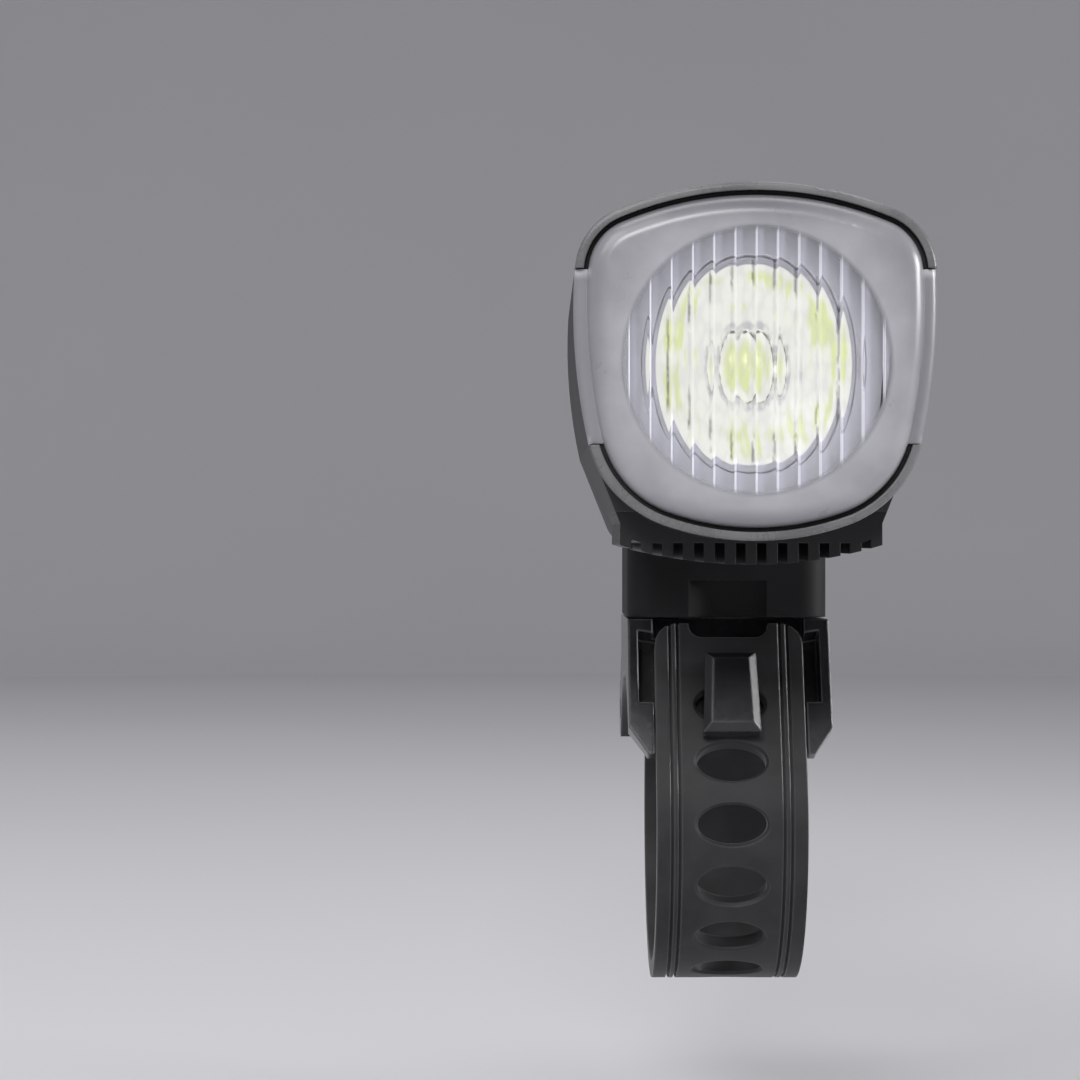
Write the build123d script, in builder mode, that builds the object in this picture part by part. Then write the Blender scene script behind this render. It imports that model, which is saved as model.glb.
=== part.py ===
from build123d import *
from math import atan, cos, degrees, radians, sin
import os

# A bike headlight strapped to a handlebar.
# The origin is on the handlebar's axis, in the middle of the strap.
# X runs along the bar, the beam shines towards -Y and Z is up. Lengths are in millimetres.

os.makedirs("parts", exist_ok=True)

# General play and cutting
overrun = 2.0  # how far a cutting shape passes the faces that it cuts
running_gap = 0.05  # radial play of a shaft in its bore
seat_gap = 0.1  # play between two fixed pieces that slip together
free_gap = 0.3  # play between a moving piece and what it passes
skin_gap = 0.02  # play of a seal or a thread that fills its seat

# Handlebar, strap and pin
bar_radius = 15.9
strap_width = 16.0
strap_thickness = 1.9
strap_lean = 22.0  # degrees that the strap's end leans back from upright
strap_end_length = 16.6  # straight end of the strap, above the bar
strap_end_corner = 2.5
strap_rest_gap = 0.15
strap_hole_width = 7.4
strap_hole_height = 4.2
strap_hole_pitch = 6.45
strap_hole_round = 0.3
strap_hole_count = 7  # holes on the round of the bar, apart from the hooked one
groove_place = 5.95  # from the middle of the strap to the middle of each pair of fine grooves
groove_spacing = 0.8
groove_width = 0.35
groove_depth = 0.45
thumb_notch_width = 8.6
thumb_notch_depth = 1.6
pin_radius = 1.25
pin_angle = 36.0  # degrees above the horizontal, seen from the bar's axis
eye_radius = 3.0
pin_end_recess = 0.4

# Saddle on the bar
bracket_width = 21.8
saddle_top = 22.5  # height above the bar's axis
saddle_rear = 12.0  # behind the bar's axis
saddle_low_share = 0.8  # rear face of the block goes down to this share of its depth
cradle_gap = 0.3
lip_low = 1.8  # where the cheeks end, along the strap
lip_start = 4.6  # where the lip under the strap ends, along the strap
channel_gap = 0.2
pocket_width = 1.6
pocket_low = 7.6  # pocket ends, along the strap
pocket_high = 15.8
pocket_slope = 0.6
pocket_depth = 1.1
ear_cut_width = 2.0
ear_cut_height = 3.0
lug_radius = 3.3
lug_rise = 4.0

# Hook moulded on the saddle
hook_along = 7.0  # middle of the stem, along the strap
hole_along = 7.4  # middle of the hooked hole
stem_width = 4.4
stem_height = 2.8
stem_root = 0.9
hook_head_gap = 0.35
head_low = 3.5
head_high = 12.3
head_low_width = 6.1
head_high_width = 5.4
head_thickness = 3.0
head_chamfer = 0.8

# Pad between the bar and the saddle
pad_thickness = 1.2
pad_half_width = 8.4
pad_start_angle = 56.0
pad_end_angle = 122.0

# Swivel
swivel_y = 1.0
parting_gap = 0.2
screw_radius = 2.0
screw_head_radius = 3.5
screw_head_height = 1.9
screw_socket_radius = 1.5
screw_socket_depth = 1.2
washer_thickness = 0.4
washer_radius = 3.9
nut_body_radius = 3.0
nut_body_length = 4.4
nut_flange_radius = 4.2
nut_flange_height = 1.5
nut_rise = 0.4
ring_inner_radius = 5.6
ring_outer_radius = 7.6
ring_depth = 1.2
ring_proud = 0.12
stop_reach = 9.2  # from the swivel axis back to the stop peg
stop_radius = 0.9
stop_length = 1.4
swivel_angle = 15.0  # degrees to each side

# Foot under the lamp
foot_length = 22.0
foot_height = 8.1
foot_corner = 3.0
foot_scoop_radius = 5.2
foot_scoop_depth = 2.2
foot_screw_spread = 7.3
foot_screw_radius = 1.25
foot_screw_head_radius = 2.2
foot_screw_head_height = 1.6
foot_screw_length = 9.2
foot_boss_radius = 2.3
foot_boss_height = 2.8

# Outline of the lamp's front, about the beam axis
face_half_width = 17.2
face_half_height = 17.0
crown_radius = 34.0
cheek_radius = 60.0
chin_radius = 26.0
cheek_rise = 5.5  # the face is widest this far above the beam axis
crown_corner = 6.5
chin_corner = 11.0

# Outline of the body behind it, with slanted lower sides and a flat keel
jowl_width_share = 0.907  # of the face's half width
jowl_drop_share = 0.4706  # of the face's half height
keel_width_share = 0.6919
keel_drop_share = 1.0118
keel_corner = 2.6
least_corner_share = 0.15  # a corner keeps at least this share of its radius when drawn in
rear_inset = 2.2

# Depths along the beam
lens_reach = 49.4  # from the bar's axis to the front of the lens
dome_rise = 1.8
rim_setback = 1.2
bezel_depth = 6.0
straight_length = 54.2
taper_length = 22.0
cap_depth = 4.0

# Lens, its seal and the bezel
rim_wall = 0.85
rim_round = 0.4
lens_inset = 1.25
lens_edge = 2.2
lens_shoulder = 2.0  # rounding of the lens's front edge
wing_round = 0.8
lens_back_inset = 3.4
lens_inner_inset = 4.3
lens_inner_rise = 2.0
wing_high = 8.7  # ends of the lens's side wings, from the beam axis
wing_low = 7.8
wing_gap = 0.1
seal_thickness = 0.4
seal_setback = 0.9
seat_inset = 3.2
spigot_inset = 2.0
spigot_depth = 2.8
flute_pitch = 2.0
flute_count = 14
flute_radius = 3.0
flute_depth = 0.2
fluted_share = 0.7412  # of the face's smaller half size

# Housing
wall = 1.8
rail_reach = 0.8  # how far the board reaches into its rails
rail_thickness = 1.2
board_crown_drop = 9.3  # from the crown down to the board's top
board_thickness = 1.2
board_width_share = 0.6163  # of the face's half width
cell_floor_gap = 1.75  # from the cell down to the housing's floor
cell_board_gap = 1.85  # from the cell up to the board
cell_front_y = -19.8
cell_length = 49.6
rib_thickness = 1.6
rib_gap = 0.15
rib_front_y = -11.0
rib_middle_y = 13.0
rib_rear_y = 25.0
window_y = -8.0
button_y = 6.0

# Heat sink
sink_base_thickness = 3.0
sink_rear_y = -12.6
fin_pitch_share = 0.1697  # of the keel's half width
fin_thickness = 1.1
fin_side_count = 6
fin_height = 2.1  # below the keel, in the middle
fin_arc_radius = 43.0
led_wall_y = -28.0
led_wall_thickness = 3.0
led_wall_top_share = 0.7059
led_wall_gap = 0.3
lead_notch_width = 6.0
lead_notch_depth = 3.0
sink_screw_inset = 2.5  # from the keel's edge
sink_screw_y = -16.6
small_screw_radius = 1.0
small_head_radius = 1.8
small_head_height = 1.2
sink_screw_length = 6.4
sink_boss_radius = 2.3
sink_boss_height = 6.0

# Lamp optics
led_board_share = 0.6706  # of the face's smaller half size
led_board_thickness = 1.6
led_screw_share = 0.4706
led_screw_length = 3.4
led_size = 3.5
led_base_height = 0.5
led_dome_radius = 1.35
optic_base_gap = 0.35
optic_height = 12.0
optic_base_share = 0.495  # of the optic's radius
optic_share = 0.5824  # of the face's smaller half size
optic_flange_width = 0.45
optic_flange_thickness = 1.0
optic_well_share = 0.2727  # of the optic's radius
optic_well_depth = 4.2
optic_bowl_depth = 5.0
optic_eye_share = 0.3636
optic_eye_height = 2.4
holder_wall = 1.0
holder_gap = 0.15
surround_thickness = 1.2
surround_inset = 3.6
surround_hole_gap = 0.25

# Battery
cell_groove_depth = 0.35
cell_groove_place = 3.2
cell_nub_share = 0.35  # of the cell's radius
cell_nub_height = 0.9
tab_thickness = 0.2
tab_width = 5.0
tab_foot = 3.0
battery_pad_share = 0.743  # of the cell's radius

# Main board and what is on it
board_front_y = -18.8
board_rear_y = 33.2
chip_height = 1.0
chip_size = 5.0
small_chip_size = 4.0
chip_side_place = 5.4
front_chip_y = -12.5
rear_chip_y = 15.0
coil_size = 5.0
coil_height = 2.4
coil_y = 22.0
switch_size = 6.0
switch_height = 3.0
plunger_radius = 1.6
plunger_height = 0.9
plunger_seat = 0.5
indicator_count = 4
indicator_pitch = 3.0
indicator_length = 1.6
indicator_width = 0.9
indicator_height = 0.6

# Button and indicator window
button_radius = 5.5
button_gap = 0.12
button_proud = 0.5
button_travel = 0.5
button_flange_radius = 6.7
button_flange_thickness = 1.1
button_flange_gap = 0.25
button_stem_radius = 1.5
button_dish_radius = 13.0
button_dish_depth = 0.45
window_length = 12.6
window_width = 2.4
window_flange = 1.0
window_flange_thickness = 1.5
window_post_radius = 0.9
window_post_gap = 0.4

# Rear cap, port and its cover
cap_corner = 2.4
cap_spigot_depth = 3.0
cap_spigot_wall = 1.3
cap_seal_width = 1.0
cap_seal_depth = 0.6
cap_seal_place = 1.0
cap_screw_inset = 6.8  # from the widest place of the face
cap_screw_rise = 0.6
cap_screw_radius = 1.25
cap_head_radius = 2.2
cap_head_height = 1.6
cap_head_sink = 0.3
cap_screw_length = 12.0
cap_boss_radius = 2.4
cap_boss_length = 11.0
cover_width = 13.0
cover_thickness = 1.6
cover_rise = 8.2  # from the hinge to the cover's top
cover_corner = 1.5
cover_gap = 0.2
cover_pivot_drop = 4.2  # from the port's middle down to the hinge
cover_bead_radius = 0.9
cover_bead_length = 15.0
cover_low_room = 1.3
cover_plug_width = 8.0
cover_plug_height = 2.4
cover_plug_length = 0.9
cover_tip_width = 5.0
cover_tip_depth = 0.6
port_width = 8.94
port_height = 3.26
port_length = 7.4
port_corner = 1.3
port_wall = 0.3
port_recess = 1.2  # from the port's mouth to the floor of the cover's recess
port_mouth_margin = 0.7
tongue_width = 6.7
tongue_thickness = 0.7
tongue_length = 5.0

# Sizes that follow from the face and the keel
face_reach = min(face_half_width, face_half_height)
jowl_half_width = jowl_width_share * face_half_width
jowl_drop = jowl_drop_share * face_half_height
keel_half_width = keel_width_share * face_half_width
keel_drop = keel_drop_share * face_half_height
sink_top_drop = keel_drop - sink_base_thickness
fin_pitch = fin_pitch_share * keel_half_width
fin_drop = keel_drop + fin_height
fluted_radius = fluted_share * face_reach
led_board_radius = led_board_share * face_reach
led_screw_spread = led_screw_share * face_reach
led_wall_top = led_wall_top_share * face_half_height
optic_radius = optic_share * face_reach
optic_base_radius = optic_base_share * optic_radius
optic_well_radius = optic_well_share * optic_radius
optic_eye_radius = optic_eye_share * optic_radius
optic_flange_radius = optic_radius + optic_flange_width
surround_hole_radius = optic_flange_radius + surround_hole_gap
board_top = face_half_height - board_crown_drop
cell_low = keel_drop - wall - cell_floor_gap
cell_radius = (cell_low + board_top - board_thickness - cell_board_gap) / 2
cell_drop = cell_low - cell_radius
cell_nub_radius = cell_nub_share * cell_radius
battery_pad_radius = battery_pad_share * cell_radius
board_half_width = board_width_share * face_half_width
rail_inset = board_half_width - rail_reach  # half of the clear width between the board's rails
cap_screw_x = face_half_width - cap_screw_inset
sink_screw_x = keel_half_width - sink_screw_inset

# Places worked out from the sizes above
lean = radians(strap_lean)
lens_front_y = -lens_reach
lens_edge_y = lens_front_y + dome_rise
lens_back_y = lens_edge_y + lens_edge
rim_front_y = lens_front_y + rim_setback
seat_y = lens_back_y + seal_thickness
bezel_rear_y = rim_front_y + bezel_depth
taper_y = bezel_rear_y + straight_length
housing_rear_y = taper_y + taper_length
cap_rear_y = housing_rear_y + cap_depth
foot_bottom = saddle_top + parting_gap
keel_z = foot_bottom + foot_height
beam_height = keel_z + keel_drop
foot_front_y = swivel_y - foot_length / 2
strap_half = strap_width / 2
channel_half = strap_half + channel_gap
bracket_half = bracket_width / 2
pin_distance = bar_radius + eye_radius + free_gap
pin_y = pin_distance * cos(radians(pin_angle))
pin_z = pin_distance * sin(radians(pin_angle))
cradle_radius = bar_radius + cradle_gap
wedge_reach = 2 * bar_radius
cell_rear_y = cell_front_y + cell_length
led_wall_rear_y = led_wall_y + led_wall_thickness
led_board_front_y = led_wall_y - led_board_thickness
optic_back_y = led_board_front_y - optic_base_gap
optic_front_y = optic_back_y - optic_height
port_mid = board_top + port_height / 2
recess_floor_y = cap_rear_y - cover_thickness - cover_gap
cover_pivot_y = cap_rear_y - cover_thickness / 2
cover_pivot_rise = port_mid - cover_pivot_drop
slope = (jowl_half_width - keel_half_width) / (keel_drop - jowl_drop)

strap_plane = Plane(
    origin=(0, -bar_radius * cos(lean), bar_radius * sin(lean)),
    x_dir=(1, 0, 0),
    z_dir=(0, -cos(lean), sin(lean)),
)


def lamp_plane(y):
    """Plane across the beam, with its origin on the beam axis and its face to the front."""
    return Plane(origin=(0, y, beam_height), x_dir=(1, 0, 0), z_dir=(0, -1, 0))


def level(rise):
    """Level plane at a height above the beam axis."""
    return Plane.XY.offset(beam_height + rise)


def along_strap(along, out):
    """Side-view point at a distance along the strap's straight end and out from its inner face."""
    reach = bar_radius + out
    return (-reach * cos(lean) + along * sin(lean), reach * sin(lean) + along * cos(lean))


def ray(angle):
    """Side-view point far out at an angle above the rear horizontal."""
    return (wedge_reach * cos(radians(angle)), wedge_reach * sin(radians(angle)))


def wedge(start, end):
    """Corners of a wedge from the bar's axis between two angles."""
    return ((0, 0), ray(start), ray((start + end) / 2), ray(end))


def drawn_in(corner, inset):
    """Corner radius that is left when an outline is drawn in by the inset."""
    return max(corner - inset, corner * least_corner_share)


def face_outline(y, inset=0.0):
    """Rounded square of the lamp's front, drawn in from its edge by the inset."""
    with BuildSketch(lamp_plane(y)) as outline:
        with Locations((0, face_half_height - crown_radius)):
            Circle(crown_radius - inset)
        with Locations((0, chin_radius - face_half_height)):
            Circle(chin_radius - inset, mode=Mode.INTERSECT)
        for side in (-1, 1):
            with Locations((side * (face_half_width - cheek_radius), cheek_rise)):
                Circle(cheek_radius - inset, mode=Mode.INTERSECT)
        fillet(outline.vertices().group_by(Axis.Y)[-1], drawn_in(crown_corner, inset))
        fillet(outline.vertices().group_by(Axis.Y)[0], drawn_in(chin_corner, inset))
    return outline.sketch


def body_outline(y, inset=0.0):
    """Section of the lamp's body, drawn in from its edge by the inset."""
    side_shift = inset * (1 + slope**2) ** 0.5 - slope * jowl_drop - jowl_half_width
    low = keel_drop - inset
    low_half_width = -side_shift - slope * low
    high = 2 * face_half_height
    top_half_width = -side_shift + slope * high
    with BuildSketch(lamp_plane(y)) as outline:
        with Locations((0, face_half_height - crown_radius)):
            Circle(crown_radius - inset)
        Polygon(
            (-top_half_width, high),
            (top_half_width, high),
            (low_half_width, -low),
            (-low_half_width, -low),
            align=None,
            mode=Mode.INTERSECT,
        )
        for side in (-1, 1):
            with Locations((side * (face_half_width - cheek_radius), cheek_rise)):
                Circle(cheek_radius - inset, mode=Mode.INTERSECT)
        fillet(outline.vertices().group_by(Axis.Y)[-1], drawn_in(crown_corner, inset))
        fillet(outline.vertices().group_by(Axis.Y)[0], drawn_in(keel_corner, inset))
    return outline.sketch


def band(y, low, high, half_width):
    """Rectangle across the beam between two heights above its axis."""
    with BuildSketch(lamp_plane(y)) as strip:
        with Locations((0, (low + high) / 2)):
            Rectangle(2 * half_width, high - low)
    return strip.sketch


def strap_band(low, high, length):
    """Side view of the strap between two heights above the bar."""
    with BuildSketch(Plane.YZ) as side:
        Circle(bar_radius + high)
        Circle(bar_radius + low, mode=Mode.SUBTRACT)
        Polygon(*wedge(pin_angle, 180 - strap_lean), align=None, mode=Mode.SUBTRACT)
        Polygon(
            along_strap(0, low),
            along_strap(length, low),
            along_strap(length, high),
            along_strap(0, high),
            align=None,
        )
    return side.sketch


def ring_part(inner, outer, start, end):
    """Side view of a ring round the bar between two radii and two angles."""
    with BuildSketch(Plane.YZ) as side:
        Circle(outer)
        Circle(inner, mode=Mode.SUBTRACT)
        Polygon(*wedge(start, end), align=None, mode=Mode.INTERSECT)
    return side.sketch


def save(piece, name):
    """Label a finished piece and write it under its name."""
    piece.part.label = name
    export_step(piece.part, f"parts/{name}.step")


# Strap: a rubber band round the bar, with an eye on the rear pin and its end on the hook

with BuildPart() as strap:
    extrude(strap_band(0, strap_thickness, strap_end_length), amount=strap_half, both=True)
    with BuildSketch(Plane.YZ) as eye:
        with Locations((pin_y, pin_z)):
            Circle(eye_radius)
    extrude(amount=strap_half, both=True)
    end_edges = strap.edges().filter_by(Axis(strap_plane.origin, strap_plane.z_dir)).sort_by(Axis.Z)
    fillet(end_edges[-2:], strap_end_corner)
    with BuildSketch(Plane.YZ) as eye_bore:
        with Locations((pin_y, pin_z)):
            Circle(pin_radius + running_gap)
    extrude(amount=strap_half + overrun, both=True, mode=Mode.SUBTRACT)
    with BuildSketch(strap_plane) as hooked_hole:
        with Locations((0, hole_along)):
            Ellipse(strap_hole_width / 2, strap_hole_height / 2)
    extrude(amount=strap_thickness + overrun, both=True, mode=Mode.SUBTRACT)
    middle_radius = bar_radius + strap_thickness / 2
    for number in range(1, strap_hole_count + 1):
        turn = (number * strap_hole_pitch - hole_along) / middle_radius - lean
        with BuildSketch(
            Plane(origin=(0, 0, 0), x_dir=(1, 0, 0), z_dir=(0, -cos(turn), -sin(turn))).offset(bar_radius)
        ) as hole:
            Ellipse(strap_hole_width / 2, strap_hole_height / 2)
        extrude(amount=strap_thickness + overrun, both=True, mode=Mode.SUBTRACT)
    hole_reach = strap_hole_width / 2 + seat_gap
    hole_edges = [edge for edge in strap.edges() if abs(edge.bounding_box().max.X) < hole_reach]
    outer_edges = []
    for edge in hole_edges:
        middle = edge.center()
        if (middle.Y**2 + middle.Z**2) ** 0.5 > middle_radius:
            outer_edges.append(edge)
    chamfer(outer_edges, strap_hole_round)
    groove_side = strap_band(strap_thickness - groove_depth, strap_thickness + overrun, strap_end_length)
    for place in (groove_place - groove_spacing / 2, groove_place + groove_spacing / 2):
        for side in (-1, 1):
            groove_start = side * place - groove_width / 2
            groove_section = groove_side.moved(Location((groove_start, 0, 0)))
            extrude(groove_section, amount=groove_width, mode=Mode.SUBTRACT)
    with BuildSketch(strap_plane) as notch:
        with Locations((0, strap_end_length)):
            Rectangle(thumb_notch_width, 2 * thumb_notch_depth)
        fillet(notch.vertices().group_by(Axis.Y)[0], thumb_notch_depth - seat_gap)
    extrude(amount=strap_thickness + overrun, both=True, mode=Mode.SUBTRACT)
save(strap, "strap")

with BuildPart() as strap_pin:
    pin_half = bracket_half - pin_end_recess
    with BuildSketch(Plane.YZ) as pin_side:
        with Locations((pin_y, pin_z)):
            Circle(pin_radius)
    extrude(amount=pin_half, both=True)
    chamfer(strap_pin.edges().filter_by(GeomType.CIRCLE), pin_end_recess)
save(strap_pin, "strap_pin")

# Saddle: block on the bar, with cheeks beside the strap, the hook, and lugs for the pin

with BuildPart() as saddle:
    cheek_top_along = (saddle_top - (bar_radius + strap_thickness) * sin(lean)) / cos(lean)
    with BuildSketch(Plane.YZ) as block_side:
        Polygon(
            along_strap(cheek_top_along, strap_thickness),
            (saddle_rear, saddle_top),
            (saddle_rear, saddle_rear * saddle_low_share),
            along_strap(lip_low, 0),
            along_strap(lip_low, strap_thickness),
            align=None,
        )
        Circle(cradle_radius, mode=Mode.SUBTRACT)
    extrude(amount=bracket_half, both=True)
    for side in (-1, 1):
        with BuildSketch(Plane.YZ.offset(side * channel_half)) as lug_side:
            Polygon(
                (saddle_rear - lug_radius, pin_z + lug_radius + lug_rise),
                (saddle_rear, pin_z + lug_radius + lug_rise),
                (pin_y, pin_z + lug_radius),
                (pin_y, pin_z - lug_radius),
                (saddle_rear - lug_radius, pin_z - lug_radius),
                align=None,
            )
            with Locations((pin_y, pin_z)):
                Circle(lug_radius)
            Circle(cradle_radius, mode=Mode.SUBTRACT)
        extrude(amount=side * (bracket_half - channel_half))
    with BuildSketch(Plane.YZ) as pin_bore:
        with Locations((pin_y, pin_z)):
            Circle(pin_radius + skin_gap)
    extrude(amount=bracket_half + overrun, both=True, mode=Mode.SUBTRACT)
    with BuildSketch(Plane.YZ) as eye_room:
        with Locations((pin_y, pin_z)):
            Circle(eye_radius + free_gap)
    extrude(amount=channel_half, both=True, mode=Mode.SUBTRACT)
    with BuildSketch(strap_plane.offset(-strap_rest_gap)) as channel:
        with Locations((0, strap_end_length / 2)):
            Rectangle(2 * channel_half, 2 * strap_end_length)
    extrude(amount=strap_thickness + overrun, mode=Mode.SUBTRACT)
    with BuildSketch(strap_plane) as lip_cut:
        with Locations((0, lip_start - strap_end_length / 2)):
            Rectangle(2 * channel_half, strap_end_length)
    extrude(amount=strap_thickness + overrun, both=True, mode=Mode.SUBTRACT)
    for side in (-1, 1):
        with BuildSketch(strap_plane.offset(-pocket_depth)) as pocket:
            Polygon(
                (side * (channel_half - overrun), pocket_low),
                (side * (channel_half + pocket_width), pocket_low),
                (side * (channel_half + pocket_width), pocket_high),
                (side * (channel_half - overrun), pocket_high - pocket_slope),
                align=None,
            )
        extrude(amount=pocket_depth + strap_thickness + overrun, mode=Mode.SUBTRACT)
        with BuildSketch(strap_plane) as ear_cut:
            Polygon(
                (side * bracket_half, lip_low + ear_cut_height),
                (side * (bracket_half - ear_cut_width), lip_low),
                (side * (bracket_half - ear_cut_width), lip_low - overrun),
                (side * (bracket_half + overrun), lip_low - overrun),
                (side * (bracket_half + overrun), lip_low + ear_cut_height),
                align=None,
            )
        extrude(amount=strap_thickness + overrun, both=True, mode=Mode.SUBTRACT)
    pad_room = ring_part(bar_radius, bar_radius + pad_thickness + skin_gap, pad_start_angle, pad_end_angle)
    extrude(pad_room, amount=pad_half_width + seat_gap, both=True, mode=Mode.SUBTRACT)
    seat_top = bar_radius + pad_thickness + screw_head_height + washer_thickness + free_gap
    with BuildSketch(Plane.XY) as screw_seat:
        with Locations((0, swivel_y)):
            Circle(washer_radius + free_gap)
    extrude(amount=seat_top, mode=Mode.SUBTRACT)
    with BuildSketch(Plane.XY) as screw_bore:
        with Locations((0, swivel_y)):
            Circle(screw_radius + running_gap)
    extrude(amount=saddle_top + overrun, mode=Mode.SUBTRACT)
    with BuildSketch(Plane.XY.offset(saddle_top)) as ring_seat:
        with Locations((0, swivel_y)):
            Circle(ring_outer_radius + skin_gap)
            Circle(ring_inner_radius - skin_gap, mode=Mode.SUBTRACT)
    extrude(amount=-ring_depth, mode=Mode.SUBTRACT)
    with BuildSketch(Plane.XY.offset(saddle_top)) as stop_slot:
        slot_angle = swivel_angle + degrees(atan(free_gap / stop_reach))
        slot_path = CenterArc((0, swivel_y), stop_reach, 90 - slot_angle, 2 * slot_angle, mode=Mode.PRIVATE)
        SlotArc(slot_path, 2 * (stop_radius + free_gap))
    extrude(amount=-(stop_length + free_gap), mode=Mode.SUBTRACT)
    with BuildSketch(strap_plane.offset(-stem_root)) as stem:
        with Locations((0, hook_along)):
            Rectangle(stem_width, stem_height)
        fillet(stem.vertices(), stem_height / 4)
    extrude(amount=stem_root + strap_thickness + hook_head_gap)
    with BuildSketch(strap_plane.offset(strap_thickness + hook_head_gap)) as head:
        Polygon(
            (-head_low_width / 2, head_low),
            (head_low_width / 2, head_low),
            (head_high_width / 2, head_high),
            (-head_high_width / 2, head_high),
            align=None,
        )
    extrude(amount=head_thickness)
    head_front = saddle.faces().sort_by(Axis(strap_plane.origin, strap_plane.z_dir))[-1]
    chamfer(head_front.edges(), head_chamfer)
save(saddle, "saddle")

with BuildPart() as bar_pad:
    pad_side = ring_part(bar_radius, bar_radius + pad_thickness, pad_start_angle, pad_end_angle)
    extrude(pad_side, amount=pad_half_width, both=True)
save(bar_pad, "bar_pad")

# Swivel: ring, screw, washer and flanged nut on one upright axis

with BuildPart() as swivel_ring:
    with BuildSketch(Plane.XY.offset(saddle_top - ring_depth)) as ring_face:
        with Locations((0, swivel_y)):
            Circle(ring_outer_radius)
            Circle(ring_inner_radius, mode=Mode.SUBTRACT)
    extrude(amount=ring_depth + ring_proud)
save(swivel_ring, "swivel_ring")

with BuildPart() as swivel_washer:
    with BuildSketch(Plane.XY.offset(seat_top - running_gap - washer_thickness)) as washer_face:
        with Locations((0, swivel_y)):
            Circle(washer_radius)
            Circle(screw_radius + running_gap, mode=Mode.SUBTRACT)
    extrude(amount=washer_thickness)
save(swivel_washer, "swivel_washer")

nut_bottom = foot_bottom + nut_rise
nut_seat = nut_bottom + nut_body_length
nut_top = nut_seat + nut_flange_height
with BuildPart() as swivel_screw:
    head_top = seat_top - running_gap - washer_thickness
    with BuildSketch(Plane.XY.offset(head_top)) as screw_head:
        with Locations((0, swivel_y)):
            Circle(screw_head_radius)
    extrude(amount=-screw_head_height)
    with BuildSketch(Plane.XY.offset(head_top - screw_head_height)) as socket:
        with Locations((0, swivel_y)):
            RegularPolygon(screw_socket_radius, 6)
    extrude(amount=screw_socket_depth, mode=Mode.SUBTRACT)
    with BuildSketch(Plane.XY.offset(head_top)) as shank:
        with Locations((0, swivel_y)):
            Circle(screw_radius)
    extrude(amount=nut_top - head_top)
    chamfer(swivel_screw.edges().filter_by(GeomType.CIRCLE).sort_by(Axis.Z)[-1], screw_radius / 5)
save(swivel_screw, "swivel_screw")

with BuildPart() as swivel_nut:
    with BuildSketch(Plane.XY.offset(nut_bottom)) as nut_body:
        with Locations((0, swivel_y)):
            Circle(nut_body_radius)
    extrude(amount=nut_body_length)
    with BuildSketch(Plane.XY.offset(nut_seat)) as nut_flange:
        with Locations((0, swivel_y)):
            RegularPolygon(nut_flange_radius, 6)
    extrude(amount=nut_flange_height)
    with BuildSketch(Plane.XY.offset(nut_bottom)) as nut_bore:
        with Locations((0, swivel_y)):
            Circle(screw_radius + skin_gap)
    extrude(amount=nut_top - nut_bottom + overrun, mode=Mode.SUBTRACT)
save(swivel_nut, "swivel_nut")

# Foot: block screwed under the lamp, which turns on the saddle

foot_screw_spots = [(-foot_screw_spread, swivel_y), (foot_screw_spread, swivel_y)]
foot_screw_seat = foot_bottom + foot_screw_head_height + seat_gap
with BuildPart() as mount_foot:
    with BuildSketch(Plane.XY.offset(foot_bottom)) as foot_face:
        with Locations((0, swivel_y)):
            RectangleRounded(bracket_width, foot_length, foot_corner)
    extrude(amount=keel_z - foot_bottom)
    with BuildSketch(Plane.XY.offset(foot_bottom)) as scoop:
        with Locations((0, foot_front_y + foot_scoop_depth - foot_scoop_radius)):
            Circle(foot_scoop_radius)
    extrude(amount=(keel_z - foot_bottom) / 2, mode=Mode.SUBTRACT)
    with BuildSketch(Plane.XY.offset(foot_bottom)) as nut_room:
        with Locations((0, swivel_y)):
            Circle(nut_body_radius + skin_gap)
    extrude(amount=keel_z - foot_bottom, mode=Mode.SUBTRACT)
    with BuildSketch(Plane.XY.offset(nut_seat)) as flange_room:
        with Locations((0, swivel_y)):
            RegularPolygon(nut_flange_radius + seat_gap, 6)
    extrude(amount=keel_z - nut_seat, mode=Mode.SUBTRACT)
    with BuildSketch(Plane.XY.offset(foot_bottom)) as foot_head_room:
        with Locations(*foot_screw_spots):
            Circle(foot_screw_head_radius + seat_gap)
    extrude(amount=foot_screw_seat - foot_bottom, mode=Mode.SUBTRACT)
    with BuildSketch(Plane.XY.offset(foot_bottom)) as foot_screw_room:
        with Locations(*foot_screw_spots):
            Circle(foot_screw_radius + seat_gap)
    extrude(amount=keel_z - foot_bottom, mode=Mode.SUBTRACT)
    with BuildSketch(Plane.XY.offset(foot_bottom - stop_length)) as stop_peg:
        with Locations((0, swivel_y + stop_reach)):
            Circle(stop_radius)
    extrude(amount=stop_length + foot_screw_head_height)
save(mount_foot, "mount_foot")

with BuildPart() as foot_screws:
    with BuildSketch(Plane.XY.offset(foot_screw_seat - foot_screw_head_height)) as foot_heads:
        with Locations(*foot_screw_spots):
            Circle(foot_screw_head_radius)
    extrude(amount=foot_screw_head_height)
    with BuildSketch(Plane.XY.offset(foot_screw_seat)) as foot_shanks:
        with Locations(*foot_screw_spots):
            Circle(foot_screw_radius)
    extrude(amount=foot_screw_length)
    with BuildSketch(Plane.XY.offset(foot_screw_seat - foot_screw_head_height)) as foot_sockets:
        with Locations(*foot_screw_spots):
            RegularPolygon(foot_screw_radius, 6)
    extrude(amount=foot_screw_head_height / 2, mode=Mode.SUBTRACT)
save(foot_screws, "foot_screws")

# Lens: domed clear cover with an inner fluted window and a wing at each side

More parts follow.
